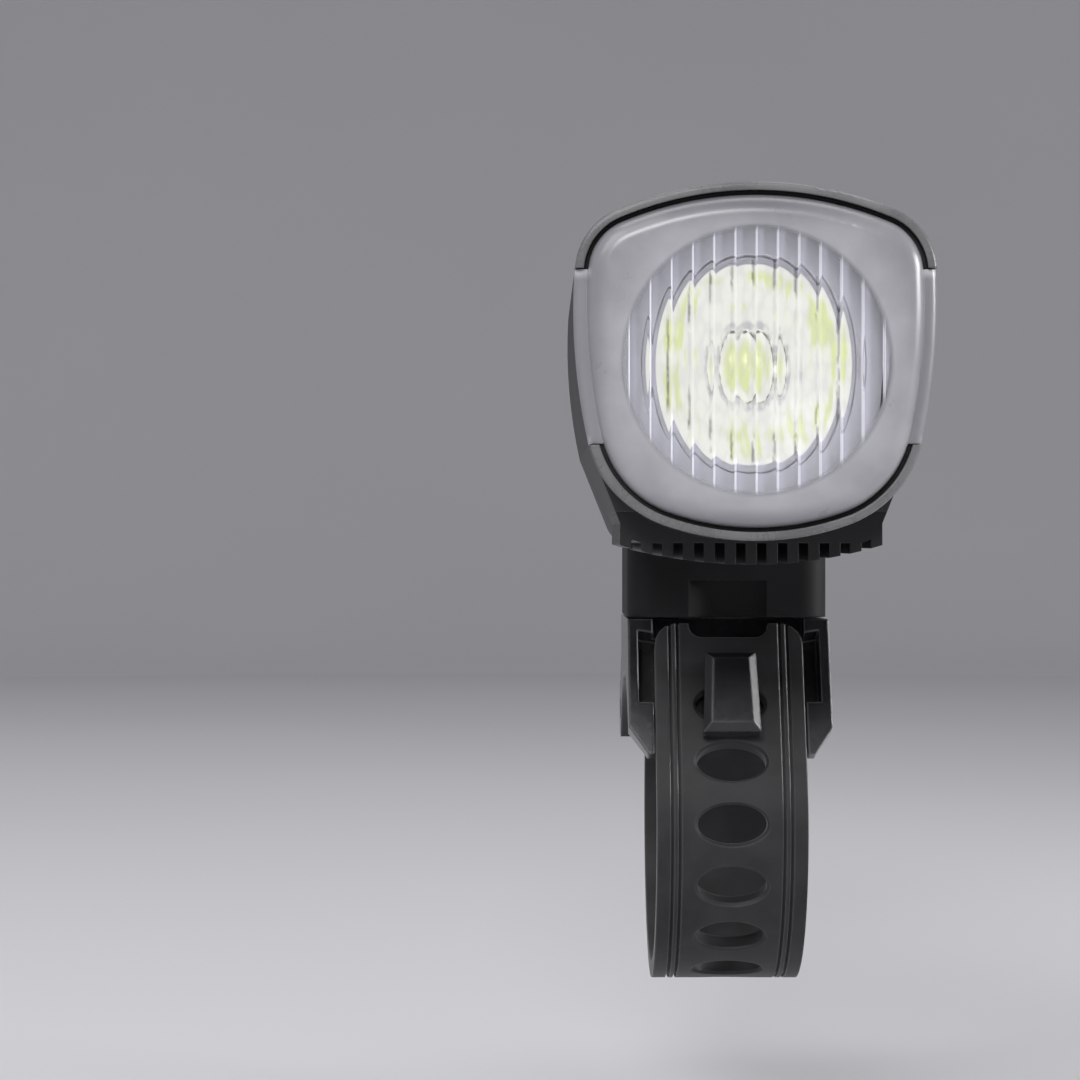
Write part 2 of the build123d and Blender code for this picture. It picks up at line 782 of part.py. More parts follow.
with BuildPart() as flutes:
    with BuildSketch(level(-fluted_radius)) as flute_rounds:
        flute_middle_y = lens_back_y - lens_inner_rise - flute_depth + flute_radius
        with Locations((0, flute_middle_y)):
            with GridLocations(flute_pitch, 0, flute_count, 1):
                Circle(flute_radius)
    extrude(amount=2 * fluted_radius)
    with BuildSketch(lamp_plane(lens_back_y)) as fluted_disc:
        Circle(fluted_radius)
    extrude(amount=lens_reach, both=True, mode=Mode.INTERSECT)

with BuildPart() as front_lens:
    extrude(face_outline(lens_back_y, lens_inset), amount=lens_edge + dome_rise)
    fillet(front_lens.faces().sort_by(Axis.Y)[0].edges(), lens_shoulder)
    inner_face_y = lens_back_y - lens_inner_rise
    loft(
        [face_outline(lens_back_y, lens_back_inset), face_outline(inner_face_y, lens_inner_inset)],
        ruled=True,
        mode=Mode.SUBTRACT,
    )
    add(flutes.part, mode=Mode.SUBTRACT)

wing_rear_y = bezel_rear_y - wing_gap
with BuildPart() as wings:
    extrude(face_outline(wing_rear_y), amount=wing_rear_y - lens_edge_y)
    fillet(wings.faces().sort_by(Axis.Y)[0].edges(), wing_round)
    extrude(
        face_outline(wing_rear_y, lens_inset),
        amount=wing_rear_y - lens_edge_y,
        mode=Mode.SUBTRACT,
    )
    extrude(
        band(wing_rear_y, -wing_low, wing_high, 2 * face_half_width),
        amount=wing_rear_y - lens_edge_y,
        mode=Mode.INTERSECT,
    )

with BuildPart() as winged_lens:
    add(front_lens.part)
    add(wings.part)
save(winged_lens, "front_lens")

with BuildPart() as wing_room:
    extrude(face_outline(bezel_rear_y, -overrun), amount=bezel_depth + overrun)
    extrude(
        face_outline(bezel_rear_y, lens_inset + wing_gap),
        amount=bezel_depth + overrun,
        mode=Mode.SUBTRACT,
    )
    extrude(
        band(bezel_rear_y, -wing_low - wing_gap, wing_high + wing_gap, 2 * face_half_width),
        amount=bezel_depth + overrun,
        mode=Mode.INTERSECT,
    )

with BuildPart() as lens_gasket:
    lip_depth = seat_y - rim_front_y - seal_setback
    extrude(face_outline(seat_y, rim_wall + skin_gap), amount=lip_depth)
    extrude(
        face_outline(seat_y - seal_thickness, lens_inset - skin_gap),
        amount=lip_depth,
        mode=Mode.SUBTRACT,
    )
    extrude(face_outline(seat_y, seat_inset), amount=lip_depth, mode=Mode.SUBTRACT)
    add(wing_room.part, mode=Mode.SUBTRACT)
save(lens_gasket, "lens_gasket")

# Bezel: thin rim round the lens, a seat behind it and a spigot into the housing

with BuildPart() as front_bezel:
    extrude(face_outline(bezel_rear_y), amount=bezel_depth)
    fillet(front_bezel.faces().sort_by(Axis.Y)[0].edges(), rim_round)
    extrude(face_outline(seat_y, rim_wall), amount=bezel_depth, mode=Mode.SUBTRACT)
    extrude(face_outline(bezel_rear_y, seat_inset), amount=bezel_depth, mode=Mode.SUBTRACT)
    add(wing_room.part, mode=Mode.SUBTRACT)
    extrude(face_outline(bezel_rear_y, spigot_inset), amount=-spigot_depth)
    extrude(face_outline(bezel_rear_y, seat_inset), amount=-spigot_depth, mode=Mode.SUBTRACT)
    spigot_low = band(bezel_rear_y, -face_half_height, seat_gap - sink_top_drop, face_half_width)
    extrude(spigot_low, amount=-spigot_depth, mode=Mode.SUBTRACT)
save(front_bezel, "front_bezel")

# Housing: one long shell, open at both ends, with room for the heat sink under its front

cap_screw_spots = [(-cap_screw_x, cap_screw_rise), (cap_screw_x, cap_screw_rise)]
sink_screw_spots = [(-sink_screw_x, sink_screw_y), (sink_screw_x, sink_screw_y)]
board_bottom = board_top - board_thickness
cell_plane = lamp_plane(cell_front_y)

with BuildPart() as hollow:
    extrude(body_outline(bezel_rear_y, wall), amount=-straight_length)
    loft([body_outline(taper_y, wall), body_outline(housing_rear_y, rear_inset + wall)], ruled=True)
    rail_length = housing_rear_y - cap_spigot_depth - board_front_y
    for low in (board_bottom - rail_thickness - skin_gap, board_top + skin_gap):
        for side in (-1, 1):
            with BuildSketch(lamp_plane(board_front_y)) as rail:
                with Locations((side * (rail_inset + face_half_width / 2), low + rail_thickness / 2)):
                    Rectangle(face_half_width, rail_thickness)
            extrude(amount=-rail_length, mode=Mode.SUBTRACT)

with BuildPart() as cell_ribs:
    for place in (rib_front_y, rib_middle_y, rib_rear_y):
        rib_height = keel_drop - cell_drop
        extrude(
            band(place + rib_thickness / 2, -keel_drop, -keel_drop + rib_height, face_half_width),
            amount=rib_thickness,
        )
    with BuildSketch(cell_plane) as cell_room:
        with Locations((0, -cell_drop)):
            Circle(cell_radius + rib_gap)
    extrude(amount=-cell_length, mode=Mode.SUBTRACT)

with BuildPart() as housing:
    extrude(body_outline(bezel_rear_y), amount=-straight_length)
    loft([body_outline(taper_y), body_outline(housing_rear_y, rear_inset)], ruled=True)
    add(hollow.part, mode=Mode.SUBTRACT)

with BuildPart() as shell_fittings:
    add(cell_ribs.part)
    with BuildSketch(Plane.XY.offset(keel_z)) as foot_bosses:
        with Locations(*foot_screw_spots):
            Circle(foot_boss_radius)
    extrude(amount=wall + foot_boss_height)
    with BuildSketch(level(-sink_top_drop)) as sink_bosses:
        with Locations(*sink_screw_spots):
            Circle(sink_boss_radius)
    extrude(amount=sink_boss_height)
    with BuildSketch(lamp_plane(housing_rear_y - cap_spigot_depth - seat_gap)) as cap_bosses:
        with Locations(*cap_screw_spots):
            Circle(cap_boss_radius)
        for side in (-1, 1):
            with Locations((side * (cap_screw_x + face_half_width / 2), cap_screw_rise)):
                Rectangle(face_half_width, cap_boss_radius)
    extrude(amount=cap_boss_length)
    with BuildSketch(lamp_plane(board_front_y)) as bore_room:
        with Locations((0, -cell_drop)):
            Circle(cell_radius + rib_gap)
    extrude(amount=-(cell_rear_y - board_front_y), mode=Mode.SUBTRACT)

with BuildPart() as inner_space:
    extrude(body_outline(bezel_rear_y, wall / 2), amount=-straight_length)
    loft(
        [body_outline(taper_y, wall / 2), body_outline(housing_rear_y, rear_inset + wall / 2)],
        ruled=True,
    )
    add(shell_fittings.part, mode=Mode.INTERSECT)

with BuildPart() as whole_housing:
    add(housing.part)
    add(inner_space.part)
    extrude(
        band(bezel_rear_y, -keel_drop - overrun, -sink_top_drop, 2 * face_half_width),
        amount=bezel_rear_y - sink_rear_y,
        mode=Mode.SUBTRACT,
    )
    with BuildSketch(Plane.XY.offset(keel_z - overrun)) as foot_screw_holes:
        with Locations(*foot_screw_spots):
            Circle(foot_screw_radius + skin_gap)
    extrude(amount=overrun + wall + foot_boss_height + overrun, mode=Mode.SUBTRACT)
    with BuildSketch(level(-sink_top_drop)) as sink_screw_holes:
        with Locations(*sink_screw_spots):
            Circle(small_screw_radius + skin_gap)
    extrude(amount=sink_screw_length, mode=Mode.SUBTRACT)
    with BuildSketch(lamp_plane(housing_rear_y)) as cap_screw_holes:
        with Locations(*cap_screw_spots):
            Circle(cap_screw_radius + skin_gap)
    extrude(amount=cap_spigot_depth + cap_boss_length + overrun, mode=Mode.SUBTRACT)
    with BuildSketch(level(face_half_height / 2)) as button_hole:
        with Locations((0, button_y)):
            Circle(button_radius + button_gap)
    extrude(amount=face_half_height, mode=Mode.SUBTRACT)
    with BuildSketch(level(face_half_height / 2)) as window_hole:
        with Locations((0, window_y)):
            SlotOverall(window_length, window_width)
    extrude(amount=face_half_height, mode=Mode.SUBTRACT)
save(whole_housing, "housing")

# Heat sink: a plate that closes the underside, its fins, and the wall that carries the light source

with BuildPart() as heat_sink:
    sink_length = sink_rear_y - seat_gap - bezel_rear_y
    extrude(body_outline(bezel_rear_y), amount=-sink_length)
    extrude(
        band(bezel_rear_y, -keel_drop, -sink_top_drop, face_half_width),
        amount=-sink_length,
        mode=Mode.INTERSECT,
    )
    with BuildSketch(lamp_plane(bezel_rear_y)) as fins:
        fin_height = fin_drop - sink_top_drop
        with Locations((0, -sink_top_drop - fin_height / 2)):
            with GridLocations(fin_pitch, 0, 2 * fin_side_count + 1, 1):
                Rectangle(fin_thickness, fin_height)
        with Locations((0, fin_arc_radius - fin_drop)):
            Circle(fin_arc_radius, mode=Mode.INTERSECT)
    extrude(amount=-sink_length)

with BuildPart() as led_wall:
    extrude(body_outline(led_wall_rear_y, wall + led_wall_gap), amount=led_wall_thickness)
    extrude(
        band(led_wall_rear_y, -keel_drop, led_wall_top, face_half_width),
        amount=led_wall_thickness,
        mode=Mode.INTERSECT,
    )
    with BuildSketch(lamp_plane(led_wall_rear_y)) as lead_notch:
        with Locations((0, led_wall_top)):
            Rectangle(lead_notch_width, 2 * lead_notch_depth)
    extrude(amount=led_wall_thickness, mode=Mode.SUBTRACT)

led_screw_spots = [(-led_screw_spread, 0), (led_screw_spread, 0)]
sink_head_top = -keel_drop + small_head_height
with BuildPart() as whole_sink:
    add(heat_sink.part)
    add(led_wall.part)
    with BuildSketch(lamp_plane(led_wall_y)) as led_screw_holes:
        with Locations(*led_screw_spots):
            Circle(small_screw_radius + skin_gap)
    extrude(amount=-led_wall_thickness, mode=Mode.SUBTRACT)
    with BuildSketch(level(-fin_drop - overrun)) as sink_head_room:
        with Locations(*sink_screw_spots):
            Circle(small_head_radius + seat_gap)
    extrude(amount=fin_drop + overrun + sink_head_top, mode=Mode.SUBTRACT)
    with BuildSketch(level(-fin_drop)) as sink_shank_room:
        with Locations(*sink_screw_spots):
            Circle(small_screw_radius + seat_gap)
    extrude(amount=fin_drop, mode=Mode.SUBTRACT)
save(whole_sink, "heat_sink")

with BuildPart() as sink_screws:
    with BuildSketch(level(sink_head_top)) as sink_heads:
        with Locations(*sink_screw_spots):
            Circle(small_head_radius)
    extrude(amount=-small_head_height)
    with BuildSketch(level(sink_head_top)) as sink_shanks:
        with Locations(*sink_screw_spots):
            Circle(small_screw_radius)
    extrude(amount=sink_screw_length)
    with BuildSketch(level(sink_head_top - small_head_height)) as sink_sockets:
        with Locations(*sink_screw_spots):
            RegularPolygon(small_screw_radius, 6)
    extrude(amount=small_head_height / 2, mode=Mode.SUBTRACT)
save(sink_screws, "heat_sink_screws")

# Light source and optics

with BuildPart() as led_board:
    with BuildSketch(lamp_plane(led_wall_y)) as led_disc:
        Circle(led_board_radius)
        with Locations(*led_screw_spots):
            Circle(small_screw_radius + seat_gap, mode=Mode.SUBTRACT)
    extrude(amount=led_board_thickness)
save(led_board, "led_board")

with BuildPart() as led_board_screws:
    with BuildSketch(lamp_plane(led_board_front_y)) as led_heads:
        with Locations(*led_screw_spots):
            Circle(small_head_radius)
    extrude(amount=small_head_height)
    with BuildSketch(lamp_plane(led_board_front_y)) as led_shanks:
        with Locations(*led_screw_spots):
            Circle(small_screw_radius)
    extrude(amount=-led_screw_length)
    with BuildSketch(lamp_plane(led_board_front_y - small_head_height)) as led_sockets:
        with Locations(*led_screw_spots):
            RegularPolygon(small_screw_radius, 6)
    extrude(amount=-small_head_height / 2, mode=Mode.SUBTRACT)
save(led_board_screws, "led_board_screws")

with BuildPart() as led_emitter:
    with BuildSketch(lamp_plane(led_board_front_y)) as led_base:
        Rectangle(led_size, led_size)
    extrude(amount=led_base_height)
    with BuildSketch(Plane.XY.offset(beam_height)) as led_dome:
        with Locations((0, led_board_front_y - led_base_height)):
            Circle(led_dome_radius)
            Rectangle(
                led_dome_radius,
                led_dome_radius,
                align=(Align.MIN, Align.MAX),
                mode=Mode.INTERSECT,
            )
    revolve(axis=Axis((0, 0, beam_height), (0, 1, 0)))
save(led_emitter, "led_emitter")

optic_middle_radius = (optic_base_radius + optic_radius) / 2 + optic_base_gap
with BuildPart() as collimator:
    with BuildSketch(Plane.XY.offset(beam_height)) as optic_half:
        with BuildLine() as optic_line:
            Polyline(
                (0, optic_back_y - optic_well_depth),
                (optic_well_radius, optic_back_y - optic_well_depth),
                (optic_well_radius, optic_back_y),
                (optic_base_radius, optic_back_y),
            )
            ThreePointArc(
                (optic_base_radius, optic_back_y),
                (optic_middle_radius, (optic_back_y + optic_front_y) / 2),
                (optic_radius, optic_front_y + optic_flange_thickness),
            )
            Polyline(
                (optic_radius, optic_front_y + optic_flange_thickness),
                (optic_flange_radius, optic_front_y + optic_flange_thickness),
                (optic_flange_radius, optic_front_y),
                (optic_radius, optic_front_y),
                (optic_eye_radius, optic_front_y + optic_bowl_depth / 2),
                (optic_eye_radius, optic_front_y + optic_bowl_depth),
            )
            TangentArc(
                (0, optic_front_y + optic_bowl_depth - optic_eye_height),
                (optic_eye_radius, optic_front_y + optic_bowl_depth),
                tangent=(1, 0),
            )
            Line(
                (0, optic_front_y + optic_bowl_depth - optic_eye_height),
                (0, optic_back_y - optic_well_depth),
            )
        make_face()
    revolve(axis=Axis((0, 0, beam_height), (0, 1, 0)))
save(collimator, "collimator")

holder_outer_radius = optic_flange_radius + holder_gap + holder_wall
with BuildPart() as optic_holder:
    with BuildSketch(lamp_plane(led_board_front_y)) as holder_round:
        Circle(holder_outer_radius)
        Circle(optic_radius + holder_gap, mode=Mode.SUBTRACT)
    extrude(amount=led_board_front_y - optic_front_y)
    with BuildSketch(lamp_plane(optic_front_y + optic_flange_thickness)) as flange_seat:
        Circle(optic_flange_radius + holder_gap)
    extrude(amount=optic_flange_thickness, mode=Mode.SUBTRACT)
save(optic_holder, "optic_holder")

with BuildPart() as lens_surround:
    extrude(face_outline(optic_front_y, surround_inset), amount=surround_thickness)
    with BuildSketch(lamp_plane(optic_front_y)) as surround_hole:
        Circle(surround_hole_radius)
    extrude(amount=surround_thickness, mode=Mode.SUBTRACT)
save(lens_surround, "lens_surround")

# Battery: one round cell, its welded tabs and the foam pads at its ends

with BuildPart() as battery_cell:
    with BuildSketch(Plane.XY.offset(beam_height - cell_drop)) as cell_half:
        can_rear_y = cell_rear_y - cell_nub_height
        Polygon(
            (0, cell_front_y),
            (cell_radius, cell_front_y),
            (cell_radius, can_rear_y - cell_groove_place),
            (cell_radius - cell_groove_depth, can_rear_y - cell_groove_place + cell_groove_depth),
            (cell_radius, can_rear_y - cell_groove_place + 2 * cell_groove_depth),
            (cell_radius, can_rear_y),
            (cell_nub_radius, can_rear_y),
            (cell_nub_radius, cell_rear_y),
            (0, cell_rear_y),
            align=None,
        )
    revolve(axis=Axis((0, 0, beam_height - cell_drop), (0, 1, 0)))
save(battery_cell, "battery_cell")

with BuildPart() as battery_tabs:
    tab_height = board_bottom + cell_drop - skin_gap
    for face_y, outward in ((cell_front_y, -1), (cell_rear_y, 1)):
        with BuildSketch(Plane.YZ) as tab_side:
            Polygon(
                (face_y, beam_height - cell_drop),
                (face_y + outward * tab_thickness, beam_height - cell_drop),
                (face_y + outward * tab_thickness, beam_height - cell_drop + tab_height),
                (face_y - outward * tab_foot, beam_height - cell_drop + tab_height),
                (face_y - outward * tab_foot, beam_height - cell_drop + tab_height - tab_thickness),
                (face_y, beam_height - cell_drop + tab_height - tab_thickness),
                align=None,
            )
        extrude(amount=tab_width / 2, both=True)
save(battery_tabs, "battery_tabs")

with BuildPart() as battery_pads:
    front_room = cell_front_y - tab_thickness - led_wall_rear_y
    with BuildSketch(lamp_plane(led_wall_rear_y)) as front_pad:
        with Locations((0, -cell_drop)):
            Circle(battery_pad_radius)
    extrude(amount=-front_room)
    with BuildSketch(lamp_plane(cell_rear_y + tab_thickness)) as rear_pad:
        with Locations((0, -cell_drop)):
            Circle(battery_pad_radius)
    extrude(amount=-(housing_rear_y - cell_rear_y - tab_thickness))
save(battery_pads, "battery_pads")

# Main board and its parts

with BuildPart() as main_board:
    with BuildSketch(level(board_bottom)) as board_face:
        with Locations((0, (board_front_y + board_rear_y) / 2)):
            RectangleRounded(2 * board_half_width, board_rear_y - board_front_y, board_thickness)
    extrude(amount=board_thickness)
save(main_board, "main_board")

with BuildPart() as board_chips:
    for x, y, size in (
        (-chip_side_place, front_chip_y, chip_size),
        (chip_side_place, front_chip_y, small_chip_size),
        (-chip_side_place, rear_chip_y, small_chip_size),
        (chip_side_place, rear_chip_y, chip_size),
    ):
        with BuildSketch(level(board_top)) as chip:
            with Locations((x, y)):
                Rectangle(size, size)
        extrude(amount=chip_height)
    with BuildSketch(level(board_top)) as coil:
        with Locations((0, coil_y)):
            RectangleRounded(coil_size, coil_size, coil_size / 6)
    extrude(amount=coil_height)
save(board_chips, "board_chips")

with BuildPart() as indicator_leds:
    with BuildSketch(level(board_top)) as indicator_bodies:
        with Locations((0, window_y)):
            with GridLocations(indicator_pitch, 0, indicator_count, 1):
                Rectangle(indicator_length, indicator_width)
    extrude(amount=indicator_height)
save(indicator_leds, "indicator_leds")

plunger_floor = board_top + switch_height - plunger_seat - button_travel - running_gap
with BuildPart() as tact_switch:
    with BuildSketch(level(board_top)) as switch_body:
        with Locations((0, button_y)):
            RectangleRounded(switch_size, switch_size, switch_size / 10)
    extrude(amount=switch_height)
    with BuildSketch(level(plunger_floor)) as plunger_room:
        with Locations((0, button_y)):
            Circle(plunger_radius + running_gap)
    extrude(amount=switch_height, mode=Mode.SUBTRACT)
save(tact_switch, "tact_switch")

plunger_top = board_top + switch_height + plunger_height
with BuildPart() as switch_plunger:
    with BuildSketch(level(plunger_top)) as plunger_face:
        with Locations((0, button_y)):
            Circle(plunger_radius)
    extrude(amount=-(plunger_height + plunger_seat))
save(switch_plunger, "switch_plunger")

# Power button and indicator window in the housing's crown

inner_crown = face_half_height - wall
flange_edge = (crown_radius - wall) - ((crown_radius - wall) ** 2 - button_flange_radius**2) ** 0.5
flange_top = inner_crown - flange_edge - button_flange_gap
button_top = face_half_height + button_proud
with BuildPart() as power_button:
    with BuildSketch(level(flange_top)) as button_round:
        with Locations((0, button_y)):
            Circle(button_radius)
    extrude(amount=button_top - flange_top)
    chamfer(power_button.edges().group_by(Axis.Z)[-1], button_proud / 2)
    with BuildSketch(level(flange_top)) as button_flange:
        with Locations((0, button_y)):
            Circle(button_flange_radius)
    extrude(amount=-button_flange_thickness)
    with BuildSketch(level(flange_top)) as button_stem:
        with Locations((0, button_y)):
            Circle(button_stem_radius)
    extrude(amount=-(flange_top - plunger_top - running_gap))
    with BuildSketch(Plane.YZ) as dish:
        with Locations((button_y, beam_height + button_top - button_dish_depth + button_dish_radius)):
            Circle(button_dish_radius)
            Rectangle(
                button_dish_radius,
                2 * button_dish_radius,
                align=(Align.MIN, Align.CENTER),
                mode=Mode.INTERSECT,
            )
    revolve(axis=Axis((0, button_y, 0), (0, 0, 1)), mode=Mode.SUBTRACT)
save(power_button, "power_button")

post_top = inner_crown - window_flange_thickness - seat_gap
with BuildPart() as window_rim:
    with BuildSketch(level(post_top)) as rim_face:
        with Locations((0, window_y)):
            SlotOverall(window_length + 2 * window_flange, window_width + 2 * window_flange)
    extrude(amount=face_half_height)
    with BuildSketch(lamp_plane(window_y)) as rim_round:
        with Locations((0, face_half_height - crown_radius)):
            Circle(crown_radius - wall - seat_gap)
    extrude(amount=window_length, both=True, mode=Mode.INTERSECT)

with BuildPart() as indicator_window:
    with BuildSketch(level(post_top)) as window_face:
        with Locations((0, window_y)):
            SlotOverall(window_length - 2 * seat_gap, window_width - 2 * seat_gap)
    extrude(amount=face_half_height)
    with BuildSketch(lamp_plane(window_y)) as crown_round:
        with Locations((0, face_half_height - crown_radius)):
            Circle(crown_radius)
    extrude(amount=window_length, both=True, mode=Mode.INTERSECT)
    add(window_rim.part)
    with BuildSketch(level(post_top)) as window_posts:
        with Locations((0, window_y)):
            with GridLocations(indicator_pitch, 0, indicator_count, 1):
                Circle(window_post_radius)
    extrude(amount=-(post_top - board_top - indicator_height - window_post_gap))
save(indicator_window, "indicator_window")

# Rear cap: closes the shell, holds the port cover and is sealed on its spigot

spigot_start = rear_inset + wall + seat_gap
with BuildPart() as cap_blank:
    extrude(body_outline(cap_rear_y, rear_inset), amount=cap_depth)
    fillet(cap_blank.faces().sort_by(Axis.Y)[-1].edges(), cap_corner)
    extrude(body_outline(housing_rear_y, spigot_start), amount=cap_spigot_depth)
    extrude(
        body_outline(housing_rear_y, spigot_start + cap_spigot_wall),
        amount=cap_spigot_depth,
        mode=Mode.SUBTRACT,
    )

with BuildPart() as seal_groove:
    seal_rear_y = housing_rear_y - cap_seal_place
    extrude(body_outline(seal_rear_y, rear_inset + wall + skin_gap), amount=cap_seal_width)
    extrude(
        body_outline(seal_rear_y, spigot_start + cap_seal_depth),
        amount=cap_seal_width,
        mode=Mode.SUBTRACT,
    )
save(seal_groove, "rear_gasket")

cap_head_seat_y = cap_rear_y - cap_head_sink - cap_head_height
port_mouth_y = recess_floor_y - port_recess
with BuildPart() as rear_cap:
    add(cap_blank.part)
    extrude(
        body_outline(seal_rear_y, spigot_start - overrun),
        amount=cap_seal_width,
        mode=Mode.SUBTRACT,
    )
    extrude(
        body_outline(seal_rear_y, spigot_start + cap_seal_depth + skin_gap),
        amount=cap_seal_width,
    )
    extrude(
        body_outline(seal_rear_y, spigot_start + cap_spigot_wall),
        amount=cap_seal_width,
        mode=Mode.SUBTRACT,
    )
    for side in (-1, 1):
        with BuildSketch(lamp_plane(housing_rear_y)) as screw_way:
            with Locations((side * cap_screw_x, cap_screw_rise)):
                Circle(cap_boss_radius + seat_gap)
        extrude(amount=cap_spigot_depth, mode=Mode.SUBTRACT)
    with BuildSketch(lamp_plane(housing_rear_y)) as board_way:
        with Locations((0, board_bottom)):
            Rectangle(
                2 * (board_half_width + seat_gap),
                2 * (port_height + board_thickness),
                align=(Align.CENTER, Align.MIN),
            )
    extrude(amount=cap_spigot_depth, mode=Mode.SUBTRACT)
    with BuildSketch(lamp_plane(cap_rear_y)) as cap_head_room:
        with Locations(*cap_screw_spots):
            Circle(cap_head_radius + seat_gap)
    extrude(amount=cap_rear_y - cap_head_seat_y, mode=Mode.SUBTRACT)
    with BuildSketch(lamp_plane(cap_rear_y)) as cap_shank_room:
        with Locations(*cap_screw_spots):
            Circle(cap_screw_radius + seat_gap)
    extrude(amount=cap_depth, mode=Mode.SUBTRACT)
    recess_low = cover_pivot_rise - cover_low_room
    recess_high = cover_pivot_rise + cover_rise + cover_gap
    with BuildSketch(lamp_plane(cap_rear_y)) as cover_recess:
        with Locations((0, (recess_low + recess_high) / 2)):
            Rectangle(cover_width + 2 * cover_gap, recess_high - recess_low)
    extrude(amount=cap_rear_y - recess_floor_y, mode=Mode.SUBTRACT)
    with BuildSketch(Plane.YZ) as bead_bore:
        with Locations((cover_pivot_y, beam_height + cover_pivot_rise)):
            Circle(cover_bead_radius + running_gap)
    extrude(amount=cover_bead_length / 2 + cover_gap, both=True, mode=Mode.SUBTRACT)
    with BuildSketch(lamp_plane(cap_rear_y)) as port_way:
        with Locations((0, port_mid)):
            RectangleRounded(
                port_width + 2 * port_mouth_margin,
                port_height + 2 * port_mouth_margin,
                port_corner,
            )
    extrude(amount=cap_depth, mode=Mode.SUBTRACT)
save(rear_cap, "rear_cap")

with BuildPart() as rear_cap_screws:
    with BuildSketch(lamp_plane(cap_head_seat_y)) as cap_heads:
        with Locations(*cap_screw_spots):
            Circle(cap_head_radius)
    extrude(amount=-cap_head_height)
    with BuildSketch(lamp_plane(cap_head_seat_y)) as cap_shanks:
        with Locations(*cap_screw_spots):
            Circle(cap_screw_radius)
    extrude(amount=cap_screw_length)
    with BuildSketch(lamp_plane(cap_head_seat_y + cap_head_height)) as cap_sockets:
        with Locations(*cap_screw_spots):
            RegularPolygon(cap_screw_radius, 6)
    extrude(amount=cap_head_height / 2, mode=Mode.SUBTRACT)
save(rear_cap_screws, "rear_cap_screws")

with BuildPart() as port_cover:
    cover_inner_y = cap_rear_y - cover_thickness
    with BuildSketch(lamp_plane(cap_rear_y)) as cover_face:
        with Locations((0, cover_pivot_rise + cover_rise / 2)):
            Rectangle(cover_width, cover_rise)
        fillet(cover_face.vertices().group_by(Axis.Y)[-1], cover_corner)
    extrude(amount=cover_thickness)
    with BuildSketch(Plane.YZ) as bead:
        with Locations((cover_pivot_y, beam_height + cover_pivot_rise)):
            Circle(cover_bead_radius)
    extrude(amount=cover_bead_length / 2, both=True)
    with BuildSketch(lamp_plane(cover_inner_y)) as plug:
        with Locations((0, port_mid)):
            RectangleRounded(cover_plug_width, cover_plug_height, cover_plug_height / 3)
    extrude(amount=cover_plug_length)
    with BuildSketch(lamp_plane(cap_rear_y)) as finger_dip:
        with Locations((0, cover_pivot_rise + cover_rise)):
            SlotOverall(cover_tip_width, 2 * cover_tip_depth)
    extrude(amount=cover_thickness / 2, mode=Mode.SUBTRACT)
save(port_cover, "port_cover")

# Charging port on the board's rear end

with BuildPart() as usb_shell:
    with BuildSketch(lamp_plane(port_mouth_y)) as shell_face:
        with Locations((0, port_mid)):
            RectangleRounded(port_width, port_height, port_corner)
    extrude(amount=port_length)
    with BuildSketch(lamp_plane(port_mouth_y)) as shell_inside:
        with Locations((0, port_mid)):
            RectangleRounded(
                port_width - 2 * port_wall,
                port_height - 2 * port_wall,
                port_corner - port_wall,
            )
    extrude(amount=port_length - port_wall, mode=Mode.SUBTRACT)
save(usb_shell, "usb_shell")

with BuildPart() as usb_tongue:
    with BuildSketch(lamp_plane(port_mouth_y - port_length + port_wall)) as tongue_face:
        with Locations((0, port_mid)):
            Rectangle(tongue_width, tongue_thickness)
    extrude(amount=-tongue_length)
save(usb_tongue, "usb_tongue")
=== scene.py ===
from math import cos, pi, radians, sin

import bmesh
import bpy
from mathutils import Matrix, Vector


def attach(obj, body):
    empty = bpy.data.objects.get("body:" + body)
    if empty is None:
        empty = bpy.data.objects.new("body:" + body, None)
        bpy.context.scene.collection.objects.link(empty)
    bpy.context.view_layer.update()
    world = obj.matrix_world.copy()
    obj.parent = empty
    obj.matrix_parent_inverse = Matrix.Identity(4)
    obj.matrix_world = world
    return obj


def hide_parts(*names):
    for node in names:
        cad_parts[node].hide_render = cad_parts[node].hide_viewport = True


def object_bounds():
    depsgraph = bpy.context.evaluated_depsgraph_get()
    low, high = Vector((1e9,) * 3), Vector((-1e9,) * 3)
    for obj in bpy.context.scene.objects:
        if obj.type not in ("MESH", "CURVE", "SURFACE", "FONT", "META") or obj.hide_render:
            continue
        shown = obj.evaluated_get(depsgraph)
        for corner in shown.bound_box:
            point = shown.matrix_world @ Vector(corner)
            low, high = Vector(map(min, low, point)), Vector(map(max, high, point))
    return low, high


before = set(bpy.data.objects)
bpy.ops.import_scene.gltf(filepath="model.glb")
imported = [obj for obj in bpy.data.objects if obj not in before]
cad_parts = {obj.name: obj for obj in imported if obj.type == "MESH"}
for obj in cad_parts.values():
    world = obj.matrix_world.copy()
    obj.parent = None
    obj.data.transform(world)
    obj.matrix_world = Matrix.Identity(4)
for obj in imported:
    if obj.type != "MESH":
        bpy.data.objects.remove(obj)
cad_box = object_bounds()

# A bike headlight on its handlebar strap. The lamp faces -Y, and the bar's axis runs along X through
# the origin. Sizes here and in the finishes are in millimetres.
MM = 0.001

